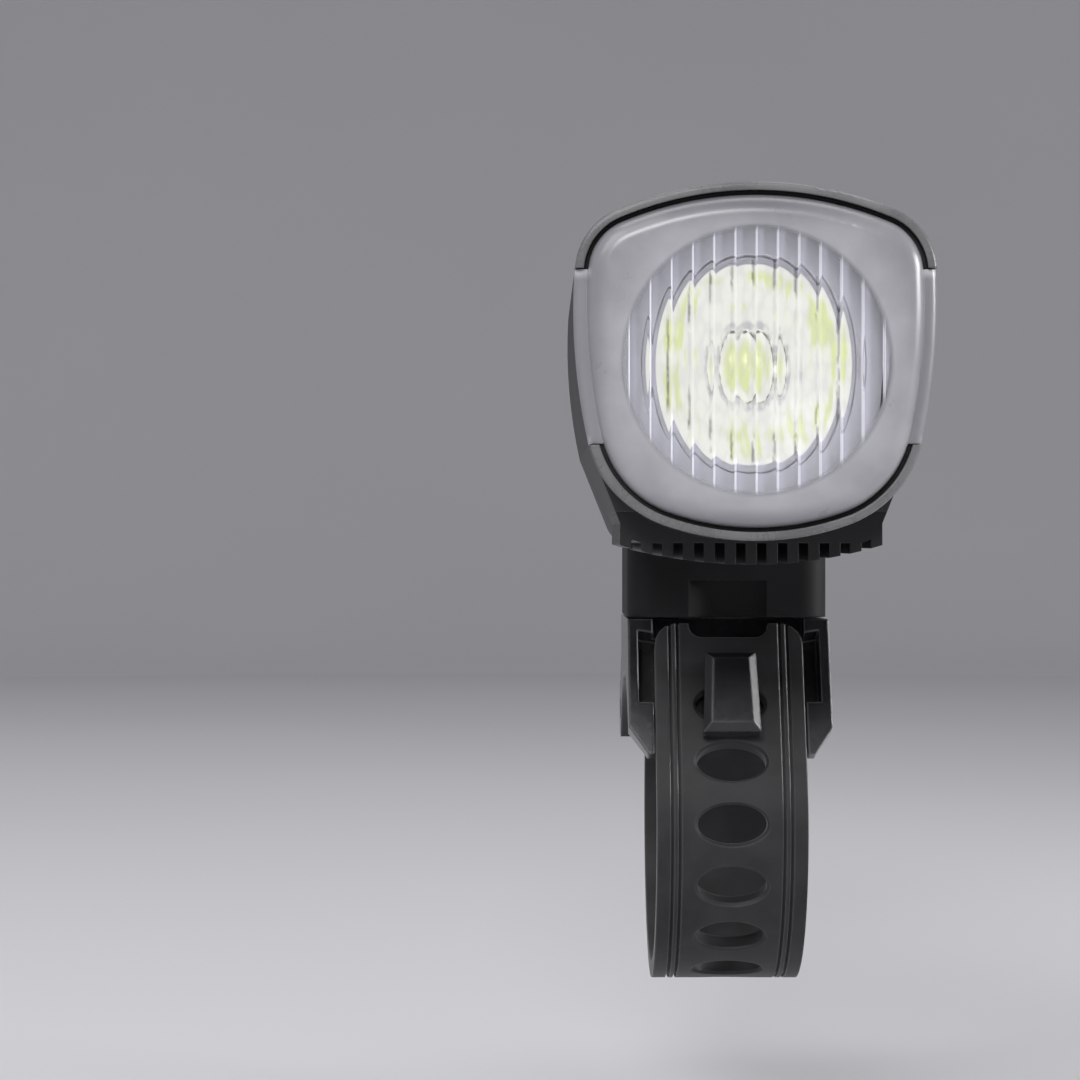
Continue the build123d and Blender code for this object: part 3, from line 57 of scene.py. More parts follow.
BEAM_HEIGHT = 48.0  # middle of the optic and the window, over the bar's axis
WINDOW_EDGE = (12.2, 13.0)  # radii between which the clear window turns to frost
DISC_EDGE = (9.3, 9.9)  # radii between which the painted dark lines of the flutes give way to painted bright lines
OPTIC_EDGE = 9.6  # radius of the lit face of the optic
FLUTE_PITCH = 2.0
LENS_HALF_WIDTH = 17.2
LENS_HALF_HEIGHT = 17.0
WING_MIDDLE = 0.45  # middle of the lens's side wings, over the middle of the window
RIM_HIGHLIGHT_EDGE = (-47.95, -47.5)  # Y between which the bezel's painted grey highlight on its forward face turns to the black sides
OPTIC_BACK = (-37.2, -36.8)  # Y between which the lit face turns to the unlit body behind it
EYE_WALL = (-39.6, -39.3)  # Y between which the wall sunk round the optic's eye begins
CHARGE_LIGHTS_Y = -8.0
CHARGE_LIGHT_PITCH = 3.0
BUTTON_Y = 6.0
BUTTON_RINGS = (3.6, 4.3)  # radii of the rings pressed into the button

BLACK = (0.0, 0.0, 0.0)


# Shader maths

class Wire:
    """A shader socket that takes part in sums."""

    def __init__(self, finish, socket):
        self.finish = finish
        self.socket = socket

    def maths(self, operation, *others):
        return self.finish.node("Math", {"operation": operation}, [self, *others])

    def __add__(self, other):
        return self.maths("ADD", other)

    __radd__ = __add__

    def __sub__(self, other):
        return self.maths("SUBTRACT", other)

    def __rsub__(self, other):
        return self.finish.node("Math", {"operation": "SUBTRACT"}, [other, self])

    def __mul__(self, other):
        return self.maths("MULTIPLY", other)

    __rmul__ = __mul__

    def __truediv__(self, other):
        return self.maths("DIVIDE", other)

    def __abs__(self):
        return self.maths("ABSOLUTE")

    def rises(self, low, high):
        """0 below low and 1 above high, smooth between them."""
        settings = {"interpolation_type": "SMOOTHSTEP"}
        inputs = {"Value": self, "From Min": low, "From Max": high}
        return self.finish.node("MapRange", settings, inputs)


class Finish:
    """One material and the nodes that it is made of."""

    def __init__(self, name):
        self.material = bpy.data.materials.new(name)
        self.material.use_nodes = True
        self.tree = self.material.node_tree
        self.tree.nodes.clear()
        self.output = self.tree.nodes.new("ShaderNodeOutputMaterial")
        place = self.node("TexCoord", {}, {}, "Object")
        self.place_mm = self.node("VectorMath", {"operation": "SCALE"}, {"Vector": place, "Scale": 1 / MM})
        split = self.raw("SeparateXYZ", {}, {"Vector": self.place_mm})
        self.x, self.y, self.z = [Wire(self, socket) for socket in split.outputs]

    def raw(self, kind, settings, inputs):
        """One node, with its settings made before its inputs are set or linked."""
        node = self.tree.nodes.new("ShaderNode" + kind)
        for name, value in settings.items():
            setattr(node, name, value)
        pairs = enumerate(inputs) if isinstance(inputs, list) else inputs.items()
        for name, value in pairs:
            socket = node.inputs[name]
            if isinstance(value, Wire):
                self.tree.links.new(value.socket, socket)
            elif socket.type == "RGBA" and len(value) == 3:
                socket.default_value = (*value, 1.0)
            else:
                socket.default_value = value
        return node

    def node(self, kind, settings, inputs, output=0):
        """One node's output, ready for sums."""
        return Wire(self, self.raw(kind, settings, inputs).outputs[output])

    def noise(self, size, detail=3.0, stretch=(1.0, 1.0, 1.0)):
        """Clouds whose blotches are about this many millimetres wide."""
        place = self.place_mm
        if stretch != (1.0, 1.0, 1.0):
            place = self.node("VectorMath", {"operation": "MULTIPLY"}, [place, stretch])
        inputs = {"Vector": place, "Scale": 1 / size, "Detail": detail}
        return self.node("TexNoise", {}, inputs, "Fac")

    def blend(self, share, first, second):
        """Colour between two colours or colour sockets. The Mix node's colours are its inputs 6 and 7."""
        return self.node("Mix", {"data_type": "RGBA"}, {"Factor": share, 6: first, 7: second}, 2)

    def edges(self, radius):
        """Normal with corners rounded to this radius, and how much of a corner a point is on."""
        rounded = self.node("Bevel", {"samples": 4}, {"Radius": radius * MM}, "Normal")
        plain = self.node("NewGeometry", {}, {}, "Normal")
        alike = self.node("VectorMath", {"operation": "DOT_PRODUCT"}, [rounded, plain], "Value")
        return rounded, (1 - alike).rises(0.02, 0.3)

    def bump(self, height, depth, normal=None):
        """Normal of a surface that height raises by up to depth millimetres."""
        inputs = {"Height": height, "Distance": depth * MM, "Strength": 1.0}
        if normal:
            inputs["Normal"] = normal
        return self.node("Bump", {}, inputs)

    def surface(self, **inputs):
        """Principled shader from inputs named with low lines for spaces."""
        sockets = {name.replace("_", " "): value for name, value in inputs.items()}
        return self.raw("BsdfPrincipled", {}, sockets)

    def mixed(self, share, first, second):
        """Shader between two shaders."""
        mix = self.raw("MixShader", {}, {0: share})
        self.tree.links.new(first.outputs[0], mix.inputs[1])
        self.tree.links.new(second.outputs[0], mix.inputs[2])
        return mix

    def done(self, shader):
        """The material, once its shader is on it."""
        self.tree.links.new(shader.outputs[0], self.output.inputs["Surface"])
        return self.material


def moulded(name, colour, rough, grain=0.35, depth=0.012, wear_and_shine=0.05,
            corner=0.22, cloud=0.25, coat=0.0, level=0.5):
    """Moulded plastic or rubber: fine grain, soft blotches, and corners painted lighter, partly as wear and
    partly as a painted highlight of the light they catch.
    """
    f = Finish(name)
    rounded, edge = f.edges(corner)
    blotch = f.noise(9.0, 4.0)
    speck = f.noise(grain, 2.0)
    lighter = tuple(min(1.0, c * (1 + 2 * cloud) + wear_and_shine * 0.06) for c in colour)
    darker = tuple(c * (1 - cloud) for c in colour)
    # Corner colour: partly wear, partly a painted highlight where the corners would catch light.
    wear_and_shine_colour = tuple(min(1.0, c + wear_and_shine) for c in colour)
    base = f.blend(blotch.rises(0.3, 0.7), darker, lighter)
    base = f.blend(edge * (0.35 + 0.65 * f.noise(1.6, 4.0)), base, wear_and_shine_colour)
    roughness = rough + 0.12 * (blotch - 0.5) + 0.10 * (speck - 0.5) - 0.08 * edge
    normal = f.bump(speck, depth, rounded)
    return f.done(f.surface(Base_Color=base, Roughness=roughness, Normal=normal, Coat_Weight=coat,
                            Coat_Roughness=0.12, Specular_IOR_Level=level))


def turned_metal(name, colour, rough, stretch=(1.0, 14.0, 1.0), corner=0.15, dull=0.35):
    """Bare metal with fine cutting marks and slightly dulled patches."""
    f = Finish(name)
    rounded, edge = f.edges(corner)
    marks = f.noise(0.35, 4.0, stretch)
    patch = f.noise(3.0, 4.0)
    dark = tuple(c * (1 - dull) for c in colour)
    base = f.blend(patch.rises(0.35, 0.7), dark, colour)
    base = f.blend(edge, base, tuple(min(1.0, c * 1.25) for c in colour))
    roughness = rough + 0.2 * (marks - 0.5) + 0.12 * (patch - 0.5)
    return f.done(f.surface(Base_Color=base, Metallic=1.0, Roughness=roughness,
                            Normal=f.bump(marks, 0.008, rounded)))


def ridged_sink():
    """Black anodised metal: satin, with fine drawn lines along the fins and paler fin edges."""
    f = Finish("black_anodised")
    rounded, edge = f.edges(0.18)
    drawn = f.noise(0.22, 3.0, (1.0, 0.05, 1.0))
    patch = f.noise(5.0, 4.0)
    base = f.blend(patch, (0.006, 0.006, 0.007), (0.012, 0.012, 0.013))
    base = f.blend(edge * 0.5, base, (0.06, 0.06, 0.065))
    roughness = 0.42 + 0.18 * (drawn - 0.5) + 0.1 * (patch - 0.5)
    return f.done(f.surface(Base_Color=base, Metallic=0.25, Roughness=roughness,
                            Normal=f.bump(drawn, 0.01, rounded)))


def rim_plastic():
    """Black moulded plastic whose narrow forward face is painted a satin grey as a painted highlight, and
    whose corners get a faint painted highlight.
    """
    f = Finish("bezel_plastic")
    rounded, edge = f.edges(0.3)
    highlit_face = 1 - f.y.rises(*RIM_HIGHLIGHT_EDGE)
    blotch = f.noise(6.0, 4.0)
    speck = f.noise(0.5, 2.0)
    plain = f.blend(blotch, (0.014, 0.014, 0.016), (0.021, 0.021, 0.023))
    # satin is a painted highlight: the grey that the black forward face shows where it catches light. The
    # corners of plain are painted lighter as a highlight too.
    satin = f.blend(blotch.rises(0.3, 0.7), (0.13, 0.13, 0.135), (0.19, 0.19, 0.195))
    base = f.blend(highlit_face, f.blend(edge * 0.3, plain, (0.07, 0.07, 0.075)), satin)
    roughness = 0.36 - 0.08 * highlit_face + 0.12 * (blotch - 0.5) + 0.08 * (speck - 0.5)
    return f.done(f.surface(Base_Color=base, Roughness=roughness, Normal=f.bump(speck, 0.008, rounded)))


def strap_rubber():
    """Matt silicone rubber with a fine skin, blotches of dusty bloom, and corners and hole lips painted
    lighter as a painted highlight.
    """
    f = Finish("strap_rubber")
    rounded, edge = f.edges(0.3)
    bloom = f.noise(4.5, 5.0)
    skin = f.noise(0.3, 3.0)
    streak = f.noise(0.8, 3.0, (0.25, 1.0, 1.0))
    base = f.blend(bloom.rises(0.3, 0.72), (0.013, 0.013, 0.014), (0.025, 0.025, 0.027))
    # Corners painted lighter: a painted highlight.
    base = f.blend(edge * 0.85, base, (0.12, 0.12, 0.125))
    roughness = 0.58 + 0.16 * (bloom - 0.5) + 0.1 * (streak - 0.5) - 0.34 * edge
    normal = f.bump(0.7 * skin + 0.3 * streak, 0.02, rounded)
    return f.done(f.surface(Base_Color=base, Roughness=roughness, Normal=normal, Sheen_Weight=0.12,
                            Sheen_Roughness=0.4, Specular_IOR_Level=0.4))


def away_from(across, up):
    """Distance from an axis, from the distances to it both ways."""
    return (across * across + up * up).maths("SQRT")


def frosted_lens():
    """Clear plastic: a frosted skirt round a clear fluted window, with painted bright and dark flute lines,
    and painted glow, shade and highlights on the frost.
    """
    f = Finish("frosted_lens")
    rise = f.z - BEAM_HEIGHT
    r = away_from(f.x, rise)
    window = 1 - r.rises(*WINDOW_EDGE)
    haze = f.noise(3.5, 4.0)
    fine = f.noise(0.25, 2.0)
    rounded, edge = f.edges(0.25)
    # Painted glow: the frost is lit from within near the window, standing in for the lamp's light scattered
    # in it.
    inner_glow = 1 - r.rises(11.5, 17.5)
    across = (abs(f.x) / LENS_HALF_WIDTH).maths("POWER", 4.0)
    up = (abs(rise) / LENS_HALF_HEIGHT).maths("POWER", 4.0)
    skirt = (across + up).maths("POWER", 0.25).rises(0.80, 0.90)
    milk = f.blend(haze.rises(0.25, 0.75), (0.28, 0.28, 0.30), (0.34, 0.34, 0.36))
    # Painted shade: the frost's outer band, where the lens walls turn back, is painted darker, and its top
    # is painted darker still.
    milk = f.blend(skirt * 0.8, milk, (0.25, 0.25, 0.27))
    milk = f.blend(rise.rises(11.5, 15.5) * 0.7, milk, (0.11, 0.11, 0.125))
    # Painted highlight: the frost's corners and a thin line at each wing tip are painted near white.
    along = abs(rise - WING_MIDDLE)
    tip = along.rises(7.2, 8.1) * (1 - along.rises(8.25, 8.5)) * abs(f.x).rises(15.4, 16.0)
    milk = f.blend((edge * 0.6).maths("MAXIMUM", tip * 0.7), milk, (0.66, 0.66, 0.69))
    glow = f.blend(inner_glow * (1 - 0.7 * skirt), BLACK, (0.10, 0.10, 0.11))
    frost = f.surface(Base_Color=milk, Roughness=0.30 + 0.16 * (haze - 0.5), Emission_Color=glow,
                      Emission_Strength=1.0, Normal=f.bump(fine, 0.004, rounded), Coat_Weight=0.25,
                      Coat_Roughness=0.2, Subsurface_Weight=0.15, Subsurface_Radius=(0.002, 0.002, 0.002))
    # Painted light on the clear window: glowing lines at the flute cusps and lilac bands beside them stand
    # in for light bent by the flutes, and dark lines between flutes over the optic stand in for their shade.
    turn = (f.x / FLUTE_PITCH).maths("FRACT")
    cusp = abs(turn - 0.5).rises(0.455, 0.49)
    shade = turn.rises(0.04, 0.10) * (1 - turn.rises(0.22, 0.42))
    disc = 1 - r.rises(*DISC_EDGE)
    broken = f.noise(1.1, 2.0, (1.0, 1.0, 0.5)).rises(0.42, 0.56)
    split = turn.rises(0.73, 0.79) * (1 - turn.rises(0.85, 0.91)) * (0.15 + 0.85 * r.rises(6.6, 7.4))
    tint_and_painted_lines = f.blend(shade * 0.5 * (1 - disc), (0.97, 0.97, 0.985), (0.70, 0.70, 0.82))
    tint_and_painted_lines = f.blend(split * broken * disc * 0.8, tint_and_painted_lines, (0.22, 0.22, 0.23))
    shine = cusp * window * (1 - 0.8 * disc) + shade * (1 - disc) * window * 0.18
    clear = f.surface(Base_Color=tint_and_painted_lines, Roughness=0.03, Transmission_Weight=1.0, IOR=1.47,
                      Emission_Color=f.blend(shine, BLACK, (0.38, 0.38, 0.41)),
                      Emission_Strength=1.0)
    return f.done(f.mixed(window, frost, clear))


def lit_optic():
    """Face of the lit optic: a bright eye in a grey ring, and an outer ring with yellow-green patches."""
    f = Finish("lit_optic")
    r = away_from(f.x, f.z - BEAM_HEIGHT)
    cells = f.node("TexVoronoi", {"feature": "F1"}, {"Vector": f.place_mm, "Scale": 0.55}, "Distance")
    cloud = f.noise(1.8, 2.0, (1.0, 1.0, 0.3))
    ring = r.rises(4.8, 6.4) * (1 - r.rises(8.6, 9.4))
    eye = 1 - r.rises(2.0, 3.2)
    green = (ring * cloud.rises(0.48, 0.60)).maths("MAXIMUM", eye * cloud.rises(0.42, 0.58))
    light = f.blend(green * 0.85, (0.80, 0.81, 0.73), (0.66, 0.73, 0.26))
    light = f.blend(cells.rises(0.35, 0.75) * 0.25, light, (0.52, 0.52, 0.51))
    gap = r.rises(3.5, 3.8) * (1 - r.rises(4.1, 4.6))
    light = f.blend(gap * 0.6 * f.noise(1.5, 2.0).rises(0.35, 0.6), light, (0.30, 0.30, 0.34))
    light = f.blend(r.rises(OPTIC_EDGE, OPTIC_EDGE + 0.2), light, (0.16, 0.16, 0.18))
    wall = f.y.rises(*EYE_WALL) * r.rises(3.3, 3.5) * (1 - r.rises(3.8, 4.0))
    broken = f.noise(1.1, 2.0).rises(0.40, 0.58)
    lamp_face = (1 - f.y.rises(*OPTIC_BACK)) * (1 - 0.8 * wall * broken)
    glow = f.blend(lamp_face, BLACK, light)
    base = f.blend(r.rises(OPTIC_EDGE, OPTIC_EDGE + 0.3), (0.20, 0.20, 0.21), (0.50, 0.50, 0.53))
    return f.done(f.surface(Base_Color=base, Roughness=0.30 + 0.1 * (cloud - 0.5),
                            Emission_Color=glow, Emission_Strength=1.0,
                            Normal=f.bump(cells, 0.12)))


def pale_surround():
    """Pale diffusing ring round the optic, lit softly from its middle."""
    f = Finish("pale_surround")
    r = away_from(f.x, f.z - BEAM_HEIGHT)
    haze = f.noise(4.0, 3.0)
    fine = f.noise(0.3, 2.0)
    base = f.blend(haze, (0.42, 0.42, 0.46), (0.54, 0.54, 0.575))
    glow = f.blend(1 - r.rises(10.0, 16.0), (0.05, 0.05, 0.055), (0.24, 0.24, 0.265))
    return f.done(f.surface(Base_Color=base, Roughness=0.45 + 0.1 * (haze - 0.5), Emission_Color=glow,
                            Emission_Strength=1.0, Normal=f.bump(fine, 0.006)))


def phosphor():
    """Yellow phosphor under its dome."""
    f = Finish("phosphor")
    grain = f.noise(0.2, 3.0)
    base = f.blend(grain, (0.75, 0.62, 0.10), (0.92, 0.84, 0.28))
    return f.done(f.surface(Base_Color=base, Roughness=0.25 + 0.1 * (grain - 0.5), Emission_Color=base,
                            Emission_Strength=0.5, Normal=f.bump(grain, 0.01)))


def smoked_window():
    """Smoke-tinted clear plastic over the charge lights, with four paler spots."""
    f = Finish("smoked_window")
    spot = abs((f.x / CHARGE_LIGHT_PITCH).maths("FRACT") - 0.5)
    across = abs(f.y - CHARGE_LIGHTS_Y)
    near = (1 - spot.rises(0.16, 0.26)) * (1 - across.rises(0.35, 0.7))
    haze = f.noise(0.8, 3.0)
    rounded, edge = f.edges(0.12)
    base = f.blend(near * 0.5, (0.016, 0.016, 0.018), (0.20, 0.24, 0.20))
    base = f.blend(edge * 0.5, base, (0.14, 0.14, 0.15))
    return f.done(f.surface(Base_Color=base, Roughness=0.10 + 0.08 * (haze - 0.5), Coat_Weight=0.6,
                            Coat_Roughness=0.05, Normal=f.bump(haze, 0.006, rounded)))


def soft_button():
    """Satin rubber button with fine rings pressed into its dished top."""
    f = Finish("soft_button")
    rounded, edge = f.edges(0.3)
    r = away_from(f.x, f.y - BUTTON_Y)
    ring = 1 - abs(r - BUTTON_RINGS[0]).rises(0.12, 0.3)
    mark = 1 - abs(r - BUTTON_RINGS[1]).rises(0.1, 0.22)
    speck = f.noise(0.3, 2.0)
    bloom = f.noise(3.0, 4.0)
    base = f.blend(bloom, (0.014, 0.014, 0.016), (0.028, 0.028, 0.031))
    base = f.blend(edge * 0.6, base, (0.08, 0.08, 0.085))
    height = 0.10 * speck + ring.maths("MAXIMUM", mark * 0.7)
    return f.done(f.surface(Base_Color=base, Roughness=0.5 + 0.16 * (bloom - 0.5),
                            Normal=f.bump(height, 0.1, rounded)))


def circuit_board():
    """Green board with lighter copper runs under its lacquer."""
    f = Finish("circuit_board")
    pattern = {"Vector": f.place_mm, "Scale": 0.6, "Mortar Size": 0.04, "Mortar": (0.05, 0.24, 0.10),
               "Color1": (0.012, 0.10, 0.045), "Color2": (0.015, 0.13, 0.055)}
    runs = f.node("TexBrick", {"offset": 0.5}, pattern, "Color")
    haze = f.noise(2.0, 3.0)
    return f.done(f.surface(Base_Color=runs, Roughness=0.28 + 0.14 * (haze - 0.5), Coat_Weight=0.4,
                            Normal=f.bump(haze, 0.02)))


def cell_wrap():
    """Shrink wrap: blue film with faint lengthwise stretch marks."""
    f = Finish("cell_wrap")
    marks = f.noise(0.8, 3.0, (1.0, 0.1, 1.0))
    base = f.blend(marks, (0.02, 0.13, 0.36), (0.03, 0.19, 0.48))
    return f.done(f.surface(Base_Color=base, Roughness=0.3 + 0.12 * (marks - 0.5), Coat_Weight=0.3,
                            Normal=f.bump(marks, 0.02)))


shell_plastic = moulded("shell_plastic", (0.016, 0.016, 0.018), 0.50, grain=0.4, depth=0.02, wear_and_shine=0.045,
                        cloud=0.08)
bezel_plastic = rim_plastic()
# Bracket plastic: its corners are painted much lighter, a painted highlight on the hook's glossy bevels, and
# its near-black base is partly painted shade under the lamp.
bracket_plastic = moulded("bracket_plastic", (0.006, 0.006, 0.008), 0.22, grain=0.6, depth=0.005, wear_and_shine=0.20,
                          corner=0.4, cloud=0.15, coat=0.3)
# The foot's plastic is darker than the shell's as painted shade: the foot sits in the lamp's shadow.
foot_plastic = moulded("foot_plastic", (0.006, 0.006, 0.007), 0.58, grain=0.4, depth=0.012, wear_and_shine=0.03,
                       level=0.25)
seal_rubber = moulded("seal_rubber", (0.008, 0.008, 0.009), 0.7, grain=0.4, depth=0.015, wear_and_shine=0.02)
cover_rubber = moulded("cover_rubber", (0.018, 0.018, 0.02), 0.62, grain=0.35, depth=0.018, wear_and_shine=0.05)
white_plastic = moulded("white_plastic", (0.62, 0.62, 0.62), 0.42, grain=0.5, depth=0.01, wear_and_shine=0.1,
                        cloud=0.05)
board_lacquer = moulded("board_lacquer", (0.72, 0.72, 0.72), 0.3, grain=0.8, depth=0.006, wear_and_shine=0.1,
                        cloud=0.05)
chip_resin = moulded("chip_resin", (0.018, 0.018, 0.02), 0.48, grain=0.2, depth=0.01, wear_and_shine=0.04,
                     corner=0.1)
foam = moulded("foam", (0.035, 0.035, 0.035), 0.85, grain=0.5, depth=0.12, wear_and_shine=0.03, corner=0.4)
steel = turned_metal("bright_steel", (0.52, 0.52, 0.54), 0.30)
brass = turned_metal("turned_brass", (0.60, 0.42, 0.16), 0.30)
gold = turned_metal("gold_plate", (0.80, 0.56, 0.20), 0.22, corner=0.03, dull=0.15)
black_anodised = ridged_sink()
rubber_strap = strap_rubber()
lens_plastic = frosted_lens()
optic_lit = lit_optic()
surround_pale = pale_surround()
phosphor_glow = phosphor()
window_smoked = smoked_window()
button_soft = soft_button()
board_green = circuit_board()
cell_blue = cell_wrap()

NODE_FINISHES = {
    "strap": rubber_strap, "strap_pin": steel, "saddle": bracket_plastic, "bar_pad": seal_rubber,
    "swivel_ring": white_plastic, "swivel_washer": steel, "swivel_screw": steel, "swivel_nut": brass,
    "mount_foot": foot_plastic, "foot_screws": steel, "front_lens": lens_plastic, "lens_gasket": seal_rubber,
    "front_bezel": bezel_plastic, "housing": shell_plastic, "heat_sink": black_anodised,
    "heat_sink_screws": steel, "led_board": board_lacquer, "led_board_screws": steel,
    "led_emitter": phosphor_glow, "collimator": optic_lit, "optic_holder": white_plastic,
    "lens_surround": surround_pale, "battery_cell": cell_blue, "battery_tabs": steel, "battery_pads": foam,
    "main_board": board_green, "board_chips": chip_resin, "indicator_leds": phosphor_glow,
    "tact_switch": chip_resin, "switch_plunger": chip_resin, "power_button": button_soft,
    "indicator_window": window_smoked, "rear_cap": shell_plastic, "rear_gasket": seal_rubber,
    "rear_cap_screws": steel, "port_cover": cover_rubber, "usb_shell": steel, "usb_tongue": chip_resin,
}

# The finish sits on the object, because the mesh is the CAD node's own.
for node, finish in NODE_FINISHES.items():
    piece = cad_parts[node]
    if not piece.material_slots:
        piece.data.materials.append(finish)
    for material_slot in piece.material_slots:
        material_slot.link = "OBJECT"
        material_slot.material = finish


# Shapes

SAME_POINT = 0.001 * MM  # points closer than this are one
SHARP_FROM = radians(35.0)  # edges that bend more than this stay sharp


def smooth_copy(node, name, body):
    """The node's own shape with its loose triangles joined and its curves shaded smooth."""
    shape = bmesh.new()
    shape.from_mesh(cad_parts[node].data)
    bmesh.ops.remove_doubles(shape, verts=shape.verts, dist=SAME_POINT)
    for face in shape.faces:
        face.smooth = True
    for edge in shape.edges:
        edge.smooth = len(edge.link_faces) == 2 and edge.calc_face_angle(0.0) < SHARP_FROM
    mesh = bpy.data.meshes.new(name)
    shape.to_mesh(mesh)
    shape.free()
    piece = bpy.data.objects.new(name, mesh)
    bpy.context.scene.collection.objects.link(piece)
    mesh.materials.append(NODE_FINISHES[node])
    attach(piece, body)
    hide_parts(node)
    return piece


clear_cover = smooth_copy("front_lens", "clear_cover", "lamp")
flute_shading = clear_cover.modifiers.new("flute_shading", "WEIGHTED_NORMAL")
flute_shading.keep_sharp = True


class Pattern:
    """A tree of geometry nodes with named sizes, applied once and then made a plain mesh."""

    def __init__(self, name, **sizes):
        self.name = name
        self.tree = bpy.data.node_groups.new(name, "GeometryNodeTree")
        self.tree.interface.new_socket("Geometry", in_out="OUTPUT", socket_type="NodeSocketGeometry")
        self.sizes = sizes
        self.sockets = {}
        for size, value in sizes.items():
            kind = "NodeSocketInt" if isinstance(value, int) else "NodeSocketFloat"
            self.sockets[size] = self.tree.interface.new_socket(size, in_out="INPUT", socket_type=kind)
        self.start = self.tree.nodes.new("NodeGroupInput")
        self.end = self.tree.nodes.new("NodeGroupOutput")

    def size(self, name):
        """Socket of one of the named sizes."""
        return self.start.outputs[name]

    def node(self, kind, settings=None, output=0, **inputs):
        """Output of one node. Inputs are named with low lines for spaces, or i0, i1 by place."""
        node = self.tree.nodes.new(kind)
        for name, value in (settings or {}).items():
            setattr(node, name, value)
        for name, value in inputs.items():
            by_place = name[0] == "i" and name[1:].isdigit()
            socket = node.inputs[int(name[1:])] if by_place else node.inputs[name.replace("_", " ")]
            if isinstance(value, bpy.types.NodeSocket):
                self.tree.links.new(value, socket)
            else:
                socket.default_value = value
        return node.outputs[output]

    def maths(self, operation, first, second):
        return self.node("ShaderNodeMath", {"operation": operation}, i0=first, i1=second)

    def point(self, **places):
        """Vector from its X, Y and Z, of which those left out are 0."""
        return self.node("ShaderNodeCombineXYZ", **places)

    def join(self, parts):
        """One geometry from several."""
        join = self.tree.nodes.new("GeometryNodeJoinGeometry")
        for part in parts:
            self.tree.links.new(part, join.inputs[0])
        return join.outputs[0]

    def piece(self, geometry, finish, body, slot):
        """Plain mesh of the whole pattern, riding on a body."""
        real = self.node("GeometryNodeRealizeInstances", Geometry=geometry)
        smooth = self.node("GeometryNodeSetShadeSmooth", Geometry=real)
        painted = self.node("GeometryNodeSetMaterial", Geometry=smooth, Material=finish)
        self.tree.links.new(painted, self.end.inputs[0])
        blank = bpy.data.meshes.new(self.name + "_carrier")
        carrier = bpy.data.objects.new(self.name + "_carrier", blank)
        bpy.context.scene.collection.objects.link(carrier)
        modifier = carrier.modifiers.new(self.name, "NODES")
        modifier.node_group = self.tree
        for size, value in self.sizes.items():
            modifier[self.sockets[size].identifier] = value
        shown = carrier.evaluated_get(bpy.context.evaluated_depsgraph_get())
        mesh = bpy.data.meshes.new_from_object(shown)
        mesh.name = self.name
        carrier.modifiers.remove(modifier)
        bpy.data.objects.remove(carrier)
        piece = bpy.data.objects.new(self.name, mesh)
        bpy.context.scene.collection.objects.link(piece)
        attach(piece, body)
        return piece


def port_contacts():
    """Gold contact strips on both faces of the charging port's tongue."""
    p = Pattern("port_contacts", Count=12, Pitch=0.5 * MM, Width=0.25 * MM, Length=3.6 * MM,
                Depth=0.05 * MM, Rise=0.355 * MM, Middle=57.33 * MM, Rear=31.8 * MM)
    strip = p.node("GeometryNodeMeshCube",
                   Size=p.point(X=p.size("Width"), Y=p.size("Length"), Z=p.size("Depth")))
    reach = p.maths("MULTIPLY", p.maths("SUBTRACT", p.size("Count"), 1.0), p.size("Pitch"))
    first = p.maths("MULTIPLY", reach, -0.5)
    rows = []
    for side in (-1.0, 1.0):
        height = p.maths("ADD", p.size("Middle"), p.maths("MULTIPLY", p.size("Rise"), side))
        row = p.node("GeometryNodeMeshLine", Count=p.size("Count"),
                     Start_Location=p.point(X=first, Y=p.size("Rear"), Z=height),
                     Offset=p.point(X=p.size("Pitch")))
        rows.append(p.node("GeometryNodeInstanceOnPoints", Points=row, Instance=strip))
    return p.piece(p.join(rows), gold, "lamp", "brass")


port_contacts()


# Floor, backdrop, light and camera

# Sizes from here on are in metres.
FLOOR_DROP = 0.016  # room under the closed strap, so that the open one clears the floor
FLOOR_REACH = 1.0
WALL_CURVE = 0.5
WALL_HEIGHT = 3.0
STUDIO_SIDES = 128
CURVE_STEPS = 16

# Place, width, height and power of each soft light, and how wide it spreads in degrees.
SOFT_LIGHTS = {
    "key_light": ((-0.55, -0.55, 0.75), 0.6, 0.6, 3.8, 180.0),
    "side_light": ((0.8, -0.06, 0.24), 0.4, 0.25, 0.75, 70.0),
    "top_light": ((0.0, 0.15, 0.95), 0.8, 0.5, 3.0, 180.0),
    "front_light": ((-0.12, -0.9, 0.5), 0.35, 0.2, 3.8, 180.0),
}
LIT_POINT = (0.0, 0.0, 0.03)
ROOM_COLOUR = (0.80, 0.80, 0.84, 1.0)
ROOM_LIGHT = 0.28

CAMERA_PLACE = (-20.4 * MM, -300.0 * MM, 31.1 * MM)
CAMERA_LENS = 89.0


def studio_paint(name, seen_only):
    """Plain pale paint, a little uneven. Paint that is only seen lets the light of the room through."""
    f = Finish(name)
    cloud = f.noise(220.0, 2.0)
    base = f.blend(cloud, (0.60, 0.60, 0.62), (0.64, 0.64, 0.66))
    paint = f.surface(Base_Color=base, Roughness=0.9, Specular_IOR_Level=0.1)
    if not seen_only:
        return f.done(paint)
    path = f.raw("LightPath", {}, {})
    camera_ray, glossy_ray, clear_ray = [Wire(f, path.outputs["Is " + kind + " Ray"])
                                         for kind in ("Camera", "Glossy", "Transmission")]
    seen = camera_ray.maths("MAXIMUM", glossy_ray).maths("MAXIMUM", clear_ray)
    return f.done(f.mixed(seen, f.raw("BsdfTransparent", {}, {}), paint))


def stage_piece(name, shape, finish):
    """Part of the studio, from a shape with its faces smooth."""
    for face in shape.faces:
        face.smooth = True
    mesh = bpy.data.meshes.new(name)
    shape.to_mesh(mesh)
    shape.free()
    piece = bpy.data.objects.new(name, mesh)
    bpy.context.scene.collection.objects.link(piece)
    mesh.materials.append(finish)


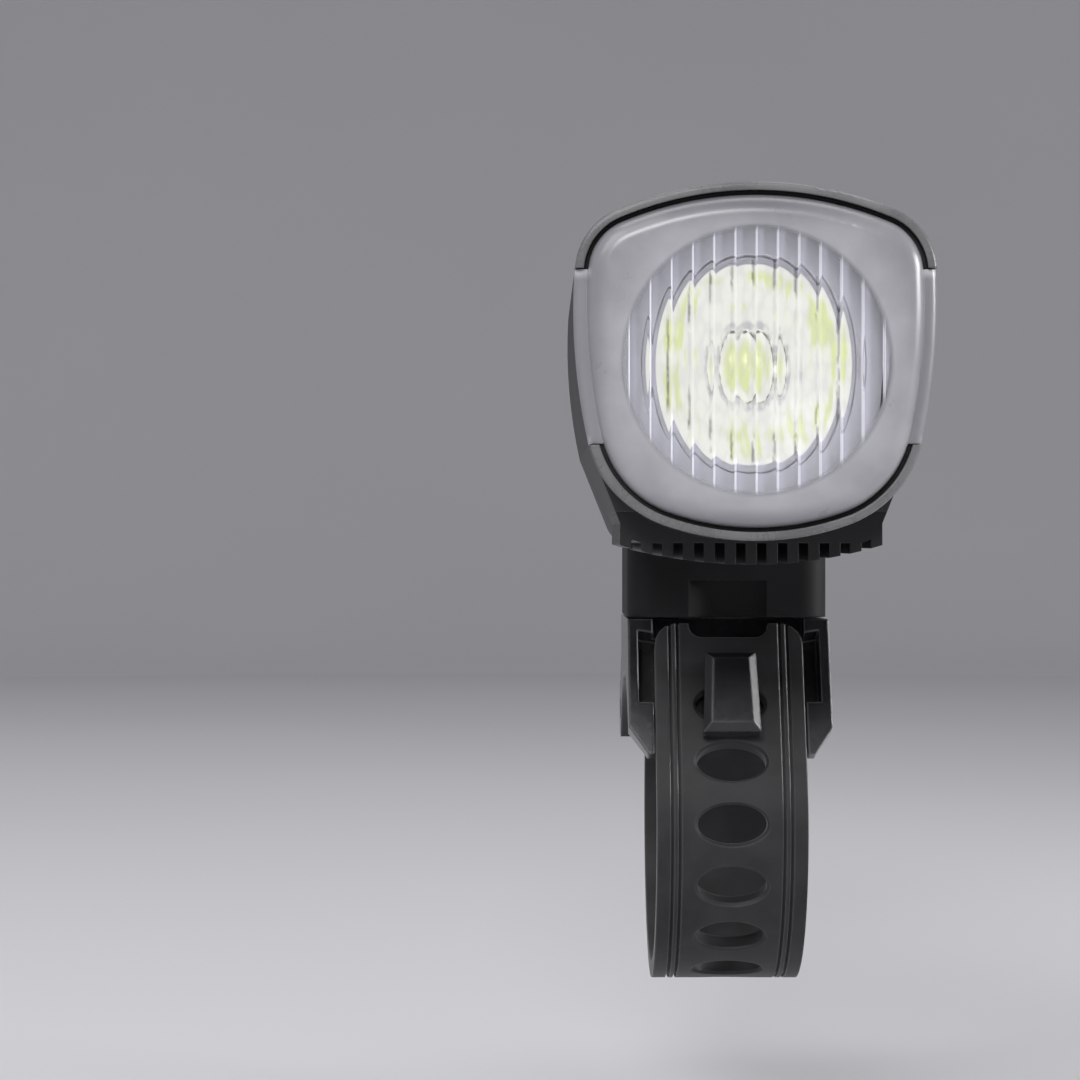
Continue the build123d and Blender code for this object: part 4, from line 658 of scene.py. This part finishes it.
def ring_of_points(shape, reach, height):
    """Points all round the studio, at one height."""
    turns = [2 * pi * side / STUDIO_SIDES for side in range(STUDIO_SIDES)]
    return [shape.verts.new((reach * cos(turn), reach * sin(turn), height)) for turn in turns]


def studio():
    """Round floor a little under the strap's swing, and a wall that curves up from it on every side."""
    low = cad_box[0][2] - FLOOR_DROP
    disc = bmesh.new()
    disc.faces.new(ring_of_points(disc, FLOOR_REACH, low))
    stage_piece("studio_floor", disc, studio_paint("studio_paint", seen_only=False))

    profile = [(FLOOR_REACH, low)]
    for step in range(1, CURVE_STEPS + 1):
        turn = radians(90.0 * step / CURVE_STEPS)
        profile.append((FLOOR_REACH + WALL_CURVE * sin(turn), low + WALL_CURVE * (1 - cos(turn))))
    profile.append((FLOOR_REACH + WALL_CURVE, low + WALL_HEIGHT))
    wall = bmesh.new()
    rings = [ring_of_points(wall, reach, height) for reach, height in profile]
    for lower, upper in zip(rings, rings[1:]):
        for side in range(STUDIO_SIDES):
            after = (side + 1) % STUDIO_SIDES
            wall.faces.new((lower[side], lower[after], upper[after], upper[side]))
    for face in wall.faces:
        face.normal_flip()
    stage_piece("studio_wall", wall, studio_paint("studio_wall_paint", seen_only=True))


def soft_light(name, place, width, height, power, spread):
    """Large soft light that faces the lamp, and that the camera doesn't see."""
    lamp = bpy.data.lights.new(name, "AREA")
    lamp.shape = "RECTANGLE"
    lamp.size = width
    lamp.size_y = height
    lamp.energy = power
    lamp.spread = radians(spread)
    holder = bpy.data.objects.new(name, lamp)
    holder.location = place
    holder.rotation_euler = (Vector(LIT_POINT) - Vector(place)).to_track_quat("-Z", "Y").to_euler()
    holder.visible_camera = False
    bpy.context.scene.collection.objects.link(holder)


studio()
for light, values in SOFT_LIGHTS.items():
    soft_light(light, *values)

world = bpy.data.worlds.new("studio")
world.use_nodes = True
room = world.node_tree.nodes["Background"]
room.inputs["Color"].default_value = ROOM_COLOUR
room.inputs["Strength"].default_value = ROOM_LIGHT
bpy.context.scene.world = world

camera = bpy.data.cameras.new("camera")
camera.lens = CAMERA_LENS
camera.sensor_width = 36.0
camera.clip_start = 0.01
tripod = bpy.data.objects.new("camera", camera)
tripod.location = CAMERA_PLACE
tripod.rotation_euler = (pi / 2, 0.0, 0.0)
bpy.context.scene.collection.objects.link(tripod)
bpy.context.scene.camera = tripod
bpy.context.scene.view_settings.view_transform = "Standard"
